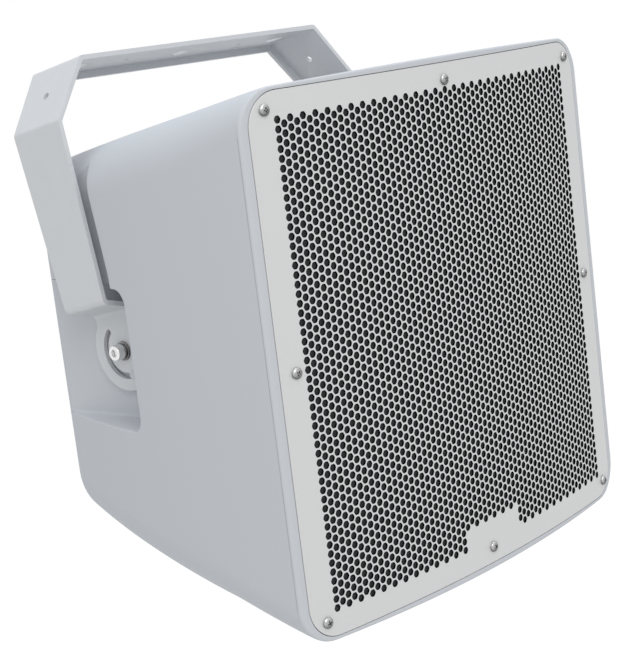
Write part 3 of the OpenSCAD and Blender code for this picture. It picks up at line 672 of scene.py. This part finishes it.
def in_channel(x, y, z, rounding, past_wall):
    """x drawn in by the channel that lets the yoke's arm pass."""
    start = CHANNEL_FRONT - rounding
    run = np.clip(y - start, 0.0, rounding)
    drop = rounding - np.sqrt(rounding * rounding - run * run)
    rounded = np.maximum(CHANNEL_FLOOR, x - drop)
    limit = np.where(past_wall, CHANNEL_FLOOR, rounded)
    return np.where(z > 0, np.minimum(x, limit), x)


def outline_distance(y, z):
    """Distance outside the pocket's outline seen from the side, negative inside it."""
    qy = POCKET_FRONT + POCKET_CORNER - y
    qz = np.abs(z) - (POCKET_HALF - POCKET_CORNER)
    outside = np.hypot(np.maximum(qy, 0), np.maximum(qz, 0))
    return outside + np.minimum(np.maximum(qy, qz), 0) - POCKET_CORNER


def in_pocket(x, y, z):
    """x drawn in by the side pocket, with its rounded edge and root."""
    d = outline_distance(y, z)
    edge = np.clip(POCKET_EDGE - d, 0.0, POCKET_EDGE)
    top = x - (POCKET_EDGE - np.sqrt(POCKET_EDGE ** 2 - edge ** 2))
    deep = np.clip(-d - POCKET_DRAFT, 0.0, POCKET_ROOT)
    root = POCKET_FLOOR + POCKET_ROOT - np.sqrt(POCKET_ROOT ** 2 - (POCKET_ROOT - deep) ** 2)
    along = np.clip(-d / POCKET_DRAFT, 0.0, 1.0)
    wall = top + (POCKET_FLOOR + POCKET_ROOT - top) * along
    shape = np.where(d >= 0, top, np.where(-d < POCKET_DRAFT, wall, root))
    return np.minimum(x, np.maximum(shape, POCKET_FLOOR))


def outer_stations(rounding):
    """Distances behind the front of the outer form's rings, and whether each is past the channel's wall."""
    ahead = list(np.arange(0.036, 0.176, 0.014)) + [0.182, 0.186]
    pocket = [POCKET_FRONT - o for o in fine_offsets()]
    pocket += list(np.arange(POCKET_FRONT + 0.0032, POCKET_FRONT + POCKET_CORNER + 0.002, 0.0008))
    bend = [CHANNEL_FRONT - rounding * f for f in (1.0, 0.8, 0.6, 0.42, 0.28, 0.16, 0.07, 0.02, 0.0)]
    before = sorted(set(round(v, 6) for v in ahead + pocket + bend))
    after = [0.214, 0.2146, 0.218, 0.224, 0.232, 0.24, 0.248, 0.256, 0.262, 0.268, 0.278, 0.29, 0.302, 0.312]
    return [(y, False) for y in before] + [(y, True) for y in after]


def cabinet_rings():
    """All rings of the cabinet's skin, from the inside of its rear wall out over the rim to its rear face."""
    sizes = bpy.context.scene.speaker_cabinet
    plan = ring_plan()
    bow = sizes.bow_radius
    rings = []
    inner_end = sizes.depth - WALL
    inside = [(y, True) for y in (inner_end, 0.32, 0.29, 0.25, 0.209)]
    inside += [(y, False) for y in (0.208, 0.1845, 0.184, 0.15, 0.11, 0.07, 0.04)]
    for y, past in inside:
        x, z = half_ring(plan, half_width(y) - WALL, half_height(y) - WALL, long_radius(y) - WALL)
        if past:
            x = np.where(z > -WALL, np.minimum(x, CHANNEL_FLOOR - WALL), x)
        if y > POCKET_FRONT - WALL:
            x = np.where(np.abs(z) < POCKET_HALF + WALL, np.minimum(x, POCKET_FLOOR - WALL), x)
        rings.append(whole_ring(x, y, z))
    x, z = half_ring(plan, half_width(0.0) - WALL, half_height(0.0) - WALL, RIM_CORNER - WALL)
    rings.append(whole_ring(x, bow_depth(x, bow) + FLANGE_BACK, z))
    for depth in (FLANGE_BACK, RECESS_DEPTH):
        x, z = half_ring(plan, OPENING_HALF, OPENING_HALF, OPENING_CORNER)
        rings.append(whole_ring(x, bow_depth(x, bow) + depth, z))
    for out, depth in [(0.0, RECESS_DEPTH), (0.0, 0.0005), (0.00015, 0.00015), (0.0005, 0.0)]:
        x, z = half_ring(plan, *(size + out for size in RECESS_HALF))
        rings.append(whole_ring(x, bow_depth(x, bow) + depth, z))
    soft, soft_z = sizes.rim_rounding, sizes.rim_rounding * 0.8
    edge_x = half_ring(plan, half_width(0.0), half_height(0.0), RIM_CORNER)[0]
    edge_h = half_height(bow_depth(edge_x, bow) + soft)
    for a in (90, 75, 60, 45, 30, 15, 0):
        c, s = math.cos(math.radians(a)), math.sin(math.radians(a))
        x, z = half_ring(plan, half_width(0.0), edge_h, RIM_CORNER, soft * (1 - c), soft_z * (1 - c))
        rings.append(whole_ring(x, bow_depth(x, bow) + soft * (1 - s), z))
    start = bow_depth(edge_x, bow) + soft
    for y in (start + (np.maximum(start, RIM_BAND) - start) * 0.5 + 0.0002,
            np.maximum(start + 0.0004, RIM_BAND - 0.0006), np.maximum(start + 0.0008, RIM_BAND + 0.0006),
            np.maximum(start + 0.0012, RIM_BAND + 0.003), np.maximum(start + 0.003, 0.029)):
        x, z = half_ring(plan, half_width(y), half_height(y), long_radius(y))
        rings.append(whole_ring(x, y, z))
    for station, past in outer_stations(sizes.channel_rounding):
        z = half_ring(plan, half_width(station), half_height(station), long_radius(station))[1]
        y = leaned(station, z)
        x, z = half_ring(plan, half_width(y), half_height(y), long_radius(y))
        x = in_channel(x, station, z, sizes.channel_rounding, past)
        rings.append(whole_ring(in_pocket(x, y, z), y, z))
    for a in range(0, 91, 10):
        inset = REAR_ROUND * (1 - math.cos(math.radians(a)))
        y = sizes.depth - REAR_ROUND + REAR_ROUND * math.sin(math.radians(a))
        x, z = half_ring(plan, half_width(y) - inset, half_height(y) - inset, long_radius(y) - inset / 2)
        x = in_channel(x, y, z, sizes.channel_rounding, True)
        rings.append(whole_ring(in_pocket(x, y, z), y, z))
    return rings


class SPEAKER_OT_cabinet_skin(bpy.types.Operator):
    """Build the moulded cabinet with its soft rim, side pockets and arm channels"""

    bl_idname = "speaker.cabinet_skin"
    bl_label = "Cabinet"

    def execute(self, context):
        rings = cabinet_rings()
        length = len(rings[0])
        verts = to_row(np.vstack(rings))
        faces = rings_to_faces(len(rings), length)
        faces.append(list(range(length - 1, -1, -1)))
        faces.append([(len(rings) - 1) * length + j for j in range(length)])
        mesh = new_mesh("cabinet_skin", verts, faces, 5e-6)
        y, z, radius = LOCK_HOLE
        bit = lathe([(radius, -0.012), (radius, 0.006)], 48)
        bits = merged([(placed(bit[0], to_row([(side * POCKET_FLOOR, y, z)])[0], (side, 0, 0)), bit[1])
            for side in (1, -1)])
        cutter = linked("lock_hole_cutter", new_mesh("lock_hole_cutter", *bits))
        mesh = with_modifier(mesh, "BOOLEAN", operation="DIFFERENCE", object=cutter, solver="EXACT")
        bpy.data.objects.remove(cutter)
        dress_piece(mesh, "cabinet", finish("cabinet_plastic"), "cabinet_shell", 38)
        return {"FINISHED"}


# ---------------------------------------------------------------- grille

GRILLE_HALF = (0.20725, 0.203)
GRILLE_CORNER = 0.027
GRILLE_SHEET = 0.0015
GRILLE_EDGE = 0.0003
EVEN_HOLES = 53
HOLE_FIELD = 0.187
HOLE_BACK = 1.02
FACING_FRONT = 0.6
PATCH_COLUMNS = range(-5, 7)


def grille_cells(pitch, columns):
    """Column and row counters of the cells that hold a hole, and their centres along the bow and up."""
    cells = []
    for k in range(-columns, columns + 1):
        odd = k % 2
        count = EVEN_HOLES - odd
        low = -(count - 1) / 2
        skip = (3 - odd) if k in PATCH_COLUMNS else 0
        for j in range(skip, count):
            cells.append((k * pitch * math.sqrt(3) / 2, (low + j) * pitch))
    return cells


def rounded_hexagon(across):
    """Twelve points of a hexagonal hole whose corners, left and right, are a little rounded."""
    points = []
    out = across / math.sqrt(3) * 0.93
    for k in range(6):
        for turn in (-11.0, 11.0):
            a = math.radians(60 * k + turn)
            flat = across / 2 / math.cos(math.radians((60 * k + turn) % 60 - 30))
            r = min(out, flat)
            points.append((r * math.cos(a), r * math.sin(a)))
    return points


def grille_outline(inset, step=0.007):
    """The grille's outline along the bow and up, with points no further apart than the step."""
    w, h, r = GRILLE_HALF[0] - inset, GRILLE_HALF[1] - inset, GRILLE_CORNER - inset
    points = []
    for k, (sx, sz) in enumerate(((1, 1), (-1, 1), (-1, -1), (1, -1))):
        for i in range(13):
            a = math.radians(90 * k + 90 * i / 12)
            points.append((sx * (w - r) + r * math.cos(a), sz * (h - r) + r * math.sin(a)))
        nx, nz = ((-1, 1), (-1, -1), (1, -1), (1, 1))[k]
        end = ((-(w - r), h), (-w, -(h - r)), (w - r, -h), (w, h - r))[k]
        last = points[-1]
        n = max(2, int(math.hypot(end[0] - last[0], end[1] - last[1]) / step))
        points += [(last[0] + (end[0] - last[0]) * i / n, last[1] + (end[1] - last[1]) * i / n)
            for i in range(1, n)]
    bow = bpy.context.scene.speaker_cabinet.bow_radius
    return [(bow * math.asin(x / bow), z) for x, z in points]


def on_bow(points, depth):
    """Points along the bow and up, at a depth under the face, in the cabinet's frame."""
    bow = bpy.context.scene.speaker_cabinet.bow_radius
    p = np.asarray(points, float)
    a = p[:, 0] / bow
    return np.column_stack([(bow - depth) * np.sin(a), bow - (bow - depth) * np.cos(a), p[:, 1]])


class SPEAKER_OT_grille_sheet(bpy.types.Operator):
    """Build the bowed steel grille with every one of its holes"""

    bl_idname = "speaker.grille_sheet"
    bl_label = "Grille"

    def execute(self, context):
        sizes = context.scene.speaker_grille
        pitch = sizes.hole_pitch
        cells = grille_cells(pitch, sizes.columns)
        cell_r = pitch / math.sqrt(3)
        corners, index = [], {}
        rims = []
        for s, z in cells:
            loop = []
            for k in range(6):
                a = math.radians(60 * k)
                point = (s + cell_r * math.cos(a), z + cell_r * math.sin(a))
                key = (round(point[0] * 2e4), round(point[1] * 2e4))
                found = next((index[(key[0] + i, key[1] + j)] for i in (0, -1, 1) for j in (0, -1, 1)
                    if (key[0] + i, key[1] + j) in index), None)
                if found is None:
                    found = len(corners)
                    index[key] = found
                    corners.append(point)
                loop.append(found)
            rims.append(loop)
        edges = dict.fromkeys((loop[k], loop[(k + 1) % 6]) for loop in rims for k in range(6))
        free = {a: b for a, b in edges if (b, a) not in edges}
        start = next(iter(free))
        border = [start]
        while free[border[-1]] != start:
            border.append(free[border[-1]])
        if len(border) != len(free):
            raise RuntimeError("the grille's field of holes isn't one closed area")

        outline = grille_outline(GRILLE_EDGE)
        outer = grille_outline(0.0)
        coords = [Vector(p) for p in outline] + [Vector(corners[i]) for i in border]
        n = len(outline)
        loops = [list(range(n)), list(range(n, n + len(border)))]
        found = delaunay_2d_cdt(coords, [], loops, 1, 1e-6)
        if len(found[0]) != len(coords):
            raise RuntimeError("the grille's border crosses its field of holes")
        triangles = [list(f) for f, ids in zip(found[2], found[5]) if 1 not in ids]
        names = [found[3][i][0] for i in range(len(found[0]))]

        flat = corners + outline
        back = corners + outer
        front_at = list(range(len(corners), len(flat))) + border
        edge_at = len(flat)
        back_at = edge_at + n
        hole_at = back_at + len(back)
        twelve = rounded_hexagon(sizes.hole_across)
        six = [((a[0] + b[0]) / 2 * HOLE_BACK, (a[1] + b[1]) / 2 * HOLE_BACK)
            for a, b in zip(twelve[::2], twelve[1::2])]
        holes = np.array([(s + x, z + y) for s, z in cells for x, y in twelve])
        holes_back = np.array([(s + x, z + y) for s, z in cells for x, y in six])
        hole_back_at = hole_at + len(holes)
        verts = [on_bow(flat, 0.0), on_bow(outer, GRILLE_EDGE), on_bow(back, GRILLE_SHEET),
            on_bow(holes, 0.0), on_bow(holes_back, GRILLE_SHEET)]

        faces = []
        for tri in triangles:
            ids = [names[i] for i in tri]
            faces.append([front_at[i] for i in ids])
            faces.append([back_at + front_at[i] for i in reversed(ids)])
        for i in range(n):
            j = (i + 1) % n
            faces.append([front_at[i], edge_at + i, edge_at + j, front_at[j]])
            faces.append([edge_at + i, back_at + front_at[i], back_at + front_at[j], edge_at + j])
        for c, loop in enumerate(rims):
            h, b = hole_at + 12 * c, hole_back_at + 6 * c
            for k in range(6):
                m = (k + 1) % 6
                faces.append([loop[k], h + 2 * k, h + 2 * k + 1])
                faces.append([loop[k], h + 2 * k + 1, h + 2 * m, loop[m]])
                faces.append([h + 2 * k, b + k, h + 2 * k + 1])
                faces.append([h + 2 * k + 1, b + k, b + m, h + 2 * m])
                faces.append([back_at + loop[k], back_at + loop[m], b + m, b + k])
        mesh = new_mesh("grille_sheet", to_row(np.vstack(verts)), faces)
        dress_piece(mesh, "cabinet", finish("grille_paint"), "grille", 30)
        # The hole walls, the faces inside the field of holes that don't face the front, get the near-black
        # hole_shade finish: painted shade in the holes
        mesh.materials.append(finish("hole_shade"))
        count = len(mesh.polygons)
        normals, centres = np.empty(3 * count), np.empty(3 * count)
        mesh.polygons.foreach_get("normal", normals)
        mesh.polygons.foreach_get("center", centres)
        centres = centres.reshape(-1, 3) - to_row([(0, 0, 0)])[0]
        facing = normals.reshape(-1, 3) @ np.array(turn_to_row((0, -1, 0)))
        height = centres @ np.array(turn_to_row((0, 0, 1)))
        inside = (np.abs(centres[:, 0]) < HOLE_FIELD) & (np.abs(height) < HOLE_FIELD)
        mesh.polygons.foreach_set("material_index", ((facing < FACING_FRONT) & inside).astype(np.int32))
        return {"FINISHED"}


# ---------------------------------------------------------------- yoke and fasteners

SEAT_X = 0.1588
HEAD_RADIUS = 0.0065
HEAD_HEIGHT = 0.008
SOCKET_HALF = 0.003
PAN_RADIUS = 0.0044
PAN_HEIGHT = 0.0031
CROSS_HALF_WIDTH = 0.00055
CROSS_REACH = 0.0021
PIVOT_SHANK = ((0.0036, -0.0282), (0.004, -0.0278), (0.004, 0.0))
GRILLE_SHANK = ((0.0022, -0.011), (0.0024, -0.0107), (0.0024, 0.0))
WASHER_EDGE = 0.00025
SCREW_X = 0.193
SCREW_Z = 0.19


class SPEAKER_OT_yoke_sheet(bpy.types.Operator):
    """Build the bent sheet-steel yoke with broken edges under its paint"""

    bl_idname = "speaker.yoke_sheet"
    bl_label = "Yoke"

    def execute(self, context):
        mesh = softened_copy("yoke", "yoke_sheet", context.scene.speaker_yoke.edge_break)
        mesh.shade_smooth()
        mesh.set_sharp_from_angle(angle=math.radians(28))
        mesh = with_modifier(mesh, "WEIGHTED_NORMAL", keep_sharp=True, weight=100)
        dress_piece(mesh, "yoke", finish("yoke_paint"), "yoke")
        return {"FINISHED"}


def socket_head(knurls):
    """A knurled cap head with its hexagon socket, seat at zero, Z up the head."""
    steps = knurls * 4
    r, h = HEAD_RADIUS, HEAD_HEIGHT
    profile = [(r - 0.0004, 0.0), (r - 0.0002, 0.0003), (r, 0.0009), (r, h - 0.0014),
        (r - 0.0002, h - 0.0008), (r - 0.0008, h - 0.0002), (r - 0.0014, h)]
    ridged = {1: 0.5, 2: 1.0, 3: 1.0, 4: 0.4}
    angles = circle(steps)
    wave = -0.00022 * (1 + np.cos(angles * knurls))
    rings = [level_ring(radius + wave * ridged.get(k, 0.0), angles, height)
        for k, (radius, height) in enumerate(profile)]
    wall = SOCKET_HALF / np.cos((angles + math.pi / 6) % (math.pi / 3) - math.pi / 6)
    for grow, height in ((0.0004, h), (0.0, h - 0.0004), (0.0, h - 0.004)):
        rings.append(level_ring(wall + grow, angles, height))
    rings.append(level_ring(0.0, angles, h - 0.0052))
    faces = rings_to_faces(len(rings), steps)
    faces.append(list(range(steps)))
    return np.vstack(rings), faces


class SPEAKER_OT_pivot_screws(bpy.types.Operator):
    """Build the two knurled socket screws that the cabinet tilts on, with their washers"""

    bl_idname = "speaker.pivot_screws"
    bl_label = "Pivot screws"

    def execute(self, context):
        head = socket_head(context.scene.speaker_yoke.knurls)
        shank = lathe(PIVOT_SHANK, 40)
        parts = []
        for side in (1, -1):
            origin = (side * SEAT_X, 0.0, -YOKE_DROP)
            for verts, faces in (head, shank):
                parts.append((placed(verts, origin, (side, 0, 0)), faces))
        dress_piece(new_mesh("pivot_screw_set", *merged(parts)), "cabinet", finish("bright_steel"),
            "pivot_screws", 30)
        for node, name in (("pivot_washers", "flat_washers"), ("spring_washers", "split_washers")):
            dress_piece(softened_copy(node, name, WASHER_EDGE), "cabinet", finish("dull_steel"),
                node, 30)
        return {"FINISHED"}


def pan_head():
    """A pan head with a cross recess, seat at zero, Z up the head."""
    steps, r, h = 64, PAN_RADIUS, PAN_HEIGHT
    angles = circle(steps)
    profile = [(r - 0.0002, 0.0), (r, 0.0003), (r, h * 0.35)]
    profile += [(r * math.cos(math.radians(a)), h * (0.35 + 0.65 * math.sin(math.radians(a))))
        for a in (12, 24, 36, 46, 55, 63)]
    verts = [level_ring(radius, angles, z) for radius, z in profile]
    off_axis = np.minimum(np.abs(np.sin(angles)), np.abs(np.cos(angles)))
    arm = np.minimum(CROSS_HALF_WIDTH / np.maximum(1e-6, off_axis), CROSS_REACH)
    top = h * 0.97
    for grow, z in ((0.0, top), (-0.00015, top - 0.0003), (-0.0003, top - 0.0012)):
        verts.append(level_ring(np.maximum(0.0003, arm + grow), angles, z))
    verts.append(level_ring(0.0, angles, top - 0.0017))
    faces = rings_to_faces(len(verts), steps)
    faces.append(list(range(steps)))
    return np.vstack(verts), faces


class SPEAKER_OT_grille_screws(bpy.types.Operator):
    """Build the eight pan-head screws round the grille"""

    bl_idname = "speaker.grille_screws"
    bl_label = "Grille screws"

    def execute(self, context):
        bow = context.scene.speaker_cabinet.bow_radius
        head = pan_head()
        shank = lathe(GRILLE_SHANK, 24)
        parts = []
        spots = [(i * SCREW_X, j * SCREW_Z) for i in (-1, 0, 1) for j in (-1, 0, 1) if i or j]
        for number, (s, z) in enumerate(spots):
            a = s / bow
            origin = to_row(on_bow([(s, z)], 0.0))[0]
            out = turn_to_row((math.sin(a), -math.cos(a), 0.0))
            turn = math.radians(17 + 37 * number)
            c, q = math.cos(turn), math.sin(turn)
            spin = np.array([[c, -q, 0], [q, c, 0], [0, 0, 1]])
            for verts, faces in (head, shank):
                parts.append((placed(verts @ spin.T, origin, out), faces))
        dress_piece(new_mesh("grille_screw_set", *merged(parts)), "cabinet", finish("screw_steel"),
            "grille_screws", 30)
        return {"FINISHED"}


# ---------------------------------------------------------------- rear connection

GLAND_SPOTS = (-0.044, 0.044)
GLAND_Z = -0.094
GLAND_STAND = 0.0103
GLAND_RIBS = 18


class SPEAKER_OT_cable_glands(bpy.types.Operator):
    """Build the two cable glands at the rear: hexagon bodies and ribbed dome nuts"""

    bl_idname = "speaker.cable_glands"
    bl_label = "Cable glands"

    def execute(self, context):
        dress_piece(softened_copy("gland_bodies", "gland_hexagons", 0.0005, 3), "cabinet",
            finish("black_plastic"), "gland_bodies", 30)
        steps = 144
        angles = circle(steps)
        base = context.scene.speaker_cabinet.depth + GLAND_STAND
        profile = [(0.0101, 0.0077, 0), (0.0101, 0.0, 0), (0.0122, 0.0, 0), (0.0128, 0.0006, 0.6),
            (0.013, 0.0012, 1), (0.013, 0.0088, 1), (0.0127, 0.0096, 0.7), (0.0118, 0.0112, 0.2),
            (0.0108, 0.0126, 0), (0.0098, 0.0136, 0), (0.0088, 0.014, 0), (0.007, 0.014, 0),
            (0.0066, 0.0137, 0), (0.0065, 0.01, 0)]
        ribs = -0.0007 * (0.5 + 0.5 * np.cos(angles * GLAND_RIBS)) ** 3
        parts = []
        for x in GLAND_SPOTS:
            rings = []
            for r, h, w in profile:
                rr = r + ribs * w
                rings.append(np.column_stack([x + rr * np.cos(angles), np.full(steps, base + h),
                    GLAND_Z + rr * np.sin(angles)]))
            faces = rings_to_faces(len(rings), steps)
            last = (len(rings) - 1) * steps
            faces += [[last + j, j, (j + 1) % steps, last + (j + 1) % steps] for j in range(steps)]
            parts.append((to_row(np.vstack(rings)), faces))
        dress_piece(new_mesh("gland_dome_nuts", *merged(parts)), "cabinet", finish("black_plastic"),
            "gland_nuts", 35)
        return {"FINISHED"}


class SPEAKER_OT_inner_parts(bpy.types.Operator):
    """Give each remaining part of the loudspeaker its finish"""

    bl_idname = "speaker.inner_parts"
    bl_label = "Inner parts"

    def execute(self, context):
        for name, nodes in NODES_BY_FINISH.items():
            for node in nodes:
                NODES[node].data.materials.clear()
                NODES[node].data.materials.append(finish(name))
        return {"FINISHED"}


# ---------------------------------------------------------------- stage

CAMERA_PLACE = (-1.0948, -0.8252, 0.2533)
CAMERA_AHEAD = (0.729, 0.6617, -0.1749)
CAMERA_DOWN = (-0.2105, -0.0265, -0.9772)
CAMERA_SHIFT = (-0.0008, 0.0004)
LAMP_AIM = (0.0, -0.02, -0.22)
FLOOR_HALF = 6
FLOOR_GLOW = 1.09
FLOOR_SEEN = 0.88
WHITE = (1, 1, 1, 1)

# Each lamp's place, width, share of the key lamp's power and colour
LAMPS = {
    "key_lamp": ((-1.5, -2.3, 1.3), 1.8, 1.0, (1.0, 0.985, 0.96)),
    "top_lamp": ((0.3, -0.4, 2.2), 2.0, 0.8, (0.86, 0.93, 1.0)),
}


def add_lamp(name, place, size, power, colour):
    lamp = bpy.data.lights.new(name, "AREA")
    lamp.shape = "DISK"
    lamp.size = size
    lamp.energy = power
    lamp.color = colour
    holder = linked(name, lamp)
    holder.location = place
    holder.rotation_euler = (Vector(LAMP_AIM) - Vector(place)).to_track_quat("-Z", "Y").to_euler()


def seen_rays(tree):
    """One where the camera looks, straight, in a reflection or through something clear."""
    ray = tree.add("ShaderNodeLightPath").outputs
    return tree.math("ADD", ray["Is Camera Ray"], tree.math("ADD", ray["Is Glossy Ray"],
        ray["Is Transmission Ray"]), clamp=True)


class SPEAKER_OT_stage(bpy.types.Operator):
    """Set up the camera, the soft light and the pale floor"""

    bl_idname = "speaker.stage"
    bl_label = "Stage"

    def execute(self, context):
        scene = context.scene
        sizes = scene.speaker_stage
        lens = bpy.data.cameras.new("photo_camera")
        lens.lens = sizes.lens
        lens.sensor_width = 36.0
        lens.clip_start = 0.05
        lens.shift_x, lens.shift_y = CAMERA_SHIFT
        camera = linked("photo_camera", lens)
        ahead = turn_to_row(CAMERA_AHEAD).normalized()
        up = -turn_to_row(CAMERA_DOWN)
        right = ahead.cross(up).normalized()
        up = right.cross(ahead)
        turn = Matrix((right, up, -ahead)).transposed().to_4x4()
        camera.matrix_world = Matrix.Translation(to_row([CAMERA_PLACE])[0]) @ turn
        scene.camera = camera
        scene.view_settings.view_transform = "Standard"

        world = bpy.data.worlds.new("studio")
        scene.world = world
        world.use_nodes = True
        world.node_tree.nodes.clear()
        tree = Tree(world.node_tree)
        sky = tree.add("ShaderNodeBackground", {"Color": (0.94, 0.97, 1.0, 1), "Strength": sizes.sky})
        pale = tree.add("ShaderNodeBackground", {"Color": WHITE, "Strength": 1.0})
        both = tree.add("ShaderNodeMixShader", {0: seen_rays(tree), 1: sky.outputs[0],
            2: pale.outputs[0]})
        tree.add("ShaderNodeOutputWorld", {"Surface": both.outputs[0]})

        for name, (place, width, share, colour) in LAMPS.items():
            add_lamp(name, place, width, sizes.key * share, colour)

        low = CAD_BOX[0][2] - sizes.floor_drop
        floor_mesh = bpy.data.meshes.new("studio_floor")
        corners = [(x * FLOOR_HALF, y * FLOOR_HALF, low) for x, y in ((-1, -1), (1, -1), (1, 1), (-1, 1))]
        floor_mesh.from_pydata(corners, [], [(0, 1, 2, 3)])
        floor = linked("studio_floor", floor_mesh)
        surface = bpy.data.materials.new("pale_floor")
        surface.use_nodes = True
        surface.node_tree.nodes.clear()
        tree = Tree(surface.node_tree)
        matt = tree.add("ShaderNodeBsdfDiffuse", {"Color": (0.88, 0.862, 0.835, 1)})
        white = tree.add("ShaderNodeEmission", {"Color": WHITE, "Strength": FLOOR_GLOW})
        both = tree.add("ShaderNodeMixShader", {0: tree.math("MULTIPLY", seen_rays(tree), FLOOR_SEEN),
            1: matt.outputs[0], 2: white.outputs[0]})
        tree.add("ShaderNodeOutputMaterial", {"Surface": both.outputs[0]})
        floor_mesh.materials.append(surface)
        return {"FINISHED"}


# ---------------------------------------------------------------- panel and run

OPERATORS = (SPEAKER_OT_stage, SPEAKER_OT_cabinet_skin, SPEAKER_OT_grille_sheet, SPEAKER_OT_yoke_sheet,
    SPEAKER_OT_pivot_screws, SPEAKER_OT_grille_screws, SPEAKER_OT_cable_glands, SPEAKER_OT_inner_parts)
SETTINGS = {"speaker_cabinet": LoudspeakerCabinetSettings, "speaker_grille": LoudspeakerGrilleSettings,
    "speaker_yoke": LoudspeakerYokeSettings, "speaker_finish": LoudspeakerFinishSettings,
    "speaker_stage": LoudspeakerStageSettings}


class SPEAKER_PT_panel(bpy.types.Panel):
    """Sizes, colours and pieces of the loudspeaker"""

    bl_label = "Loudspeaker"
    bl_idname = "SPEAKER_PT_panel"
    bl_space_type = "VIEW_3D"
    bl_region_type = "UI"
    bl_category = "Loudspeaker"

    def draw(self, context):
        for name, group in SETTINGS.items():
            box = self.layout.box()
            box.label(text=group.__doc__)
            for key in group.__annotations__:
                box.prop(getattr(context.scene, name), key)
        for operator in OPERATORS:
            self.layout.operator(operator.bl_idname)


def register():
    for item in (*SETTINGS.values(), *OPERATORS, SPEAKER_PT_panel):
        bpy.utils.register_class(item)
    for name, group in SETTINGS.items():
        setattr(bpy.types.Scene, name, bpy.props.PointerProperty(type=group))


def unregister():
    for name in SETTINGS:
        delattr(bpy.types.Scene, name)
    for item in (SPEAKER_PT_panel, *reversed(OPERATORS), *SETTINGS.values()):
        bpy.utils.unregister_class(item)


def main():
    """Build the scene: the camera and stage first, then each piece."""
    register()
    for operator in OPERATORS:
        group, name = operator.bl_idname.split(".")
        getattr(getattr(bpy.ops, group), name)()


if __name__ == "__main__":
    main()
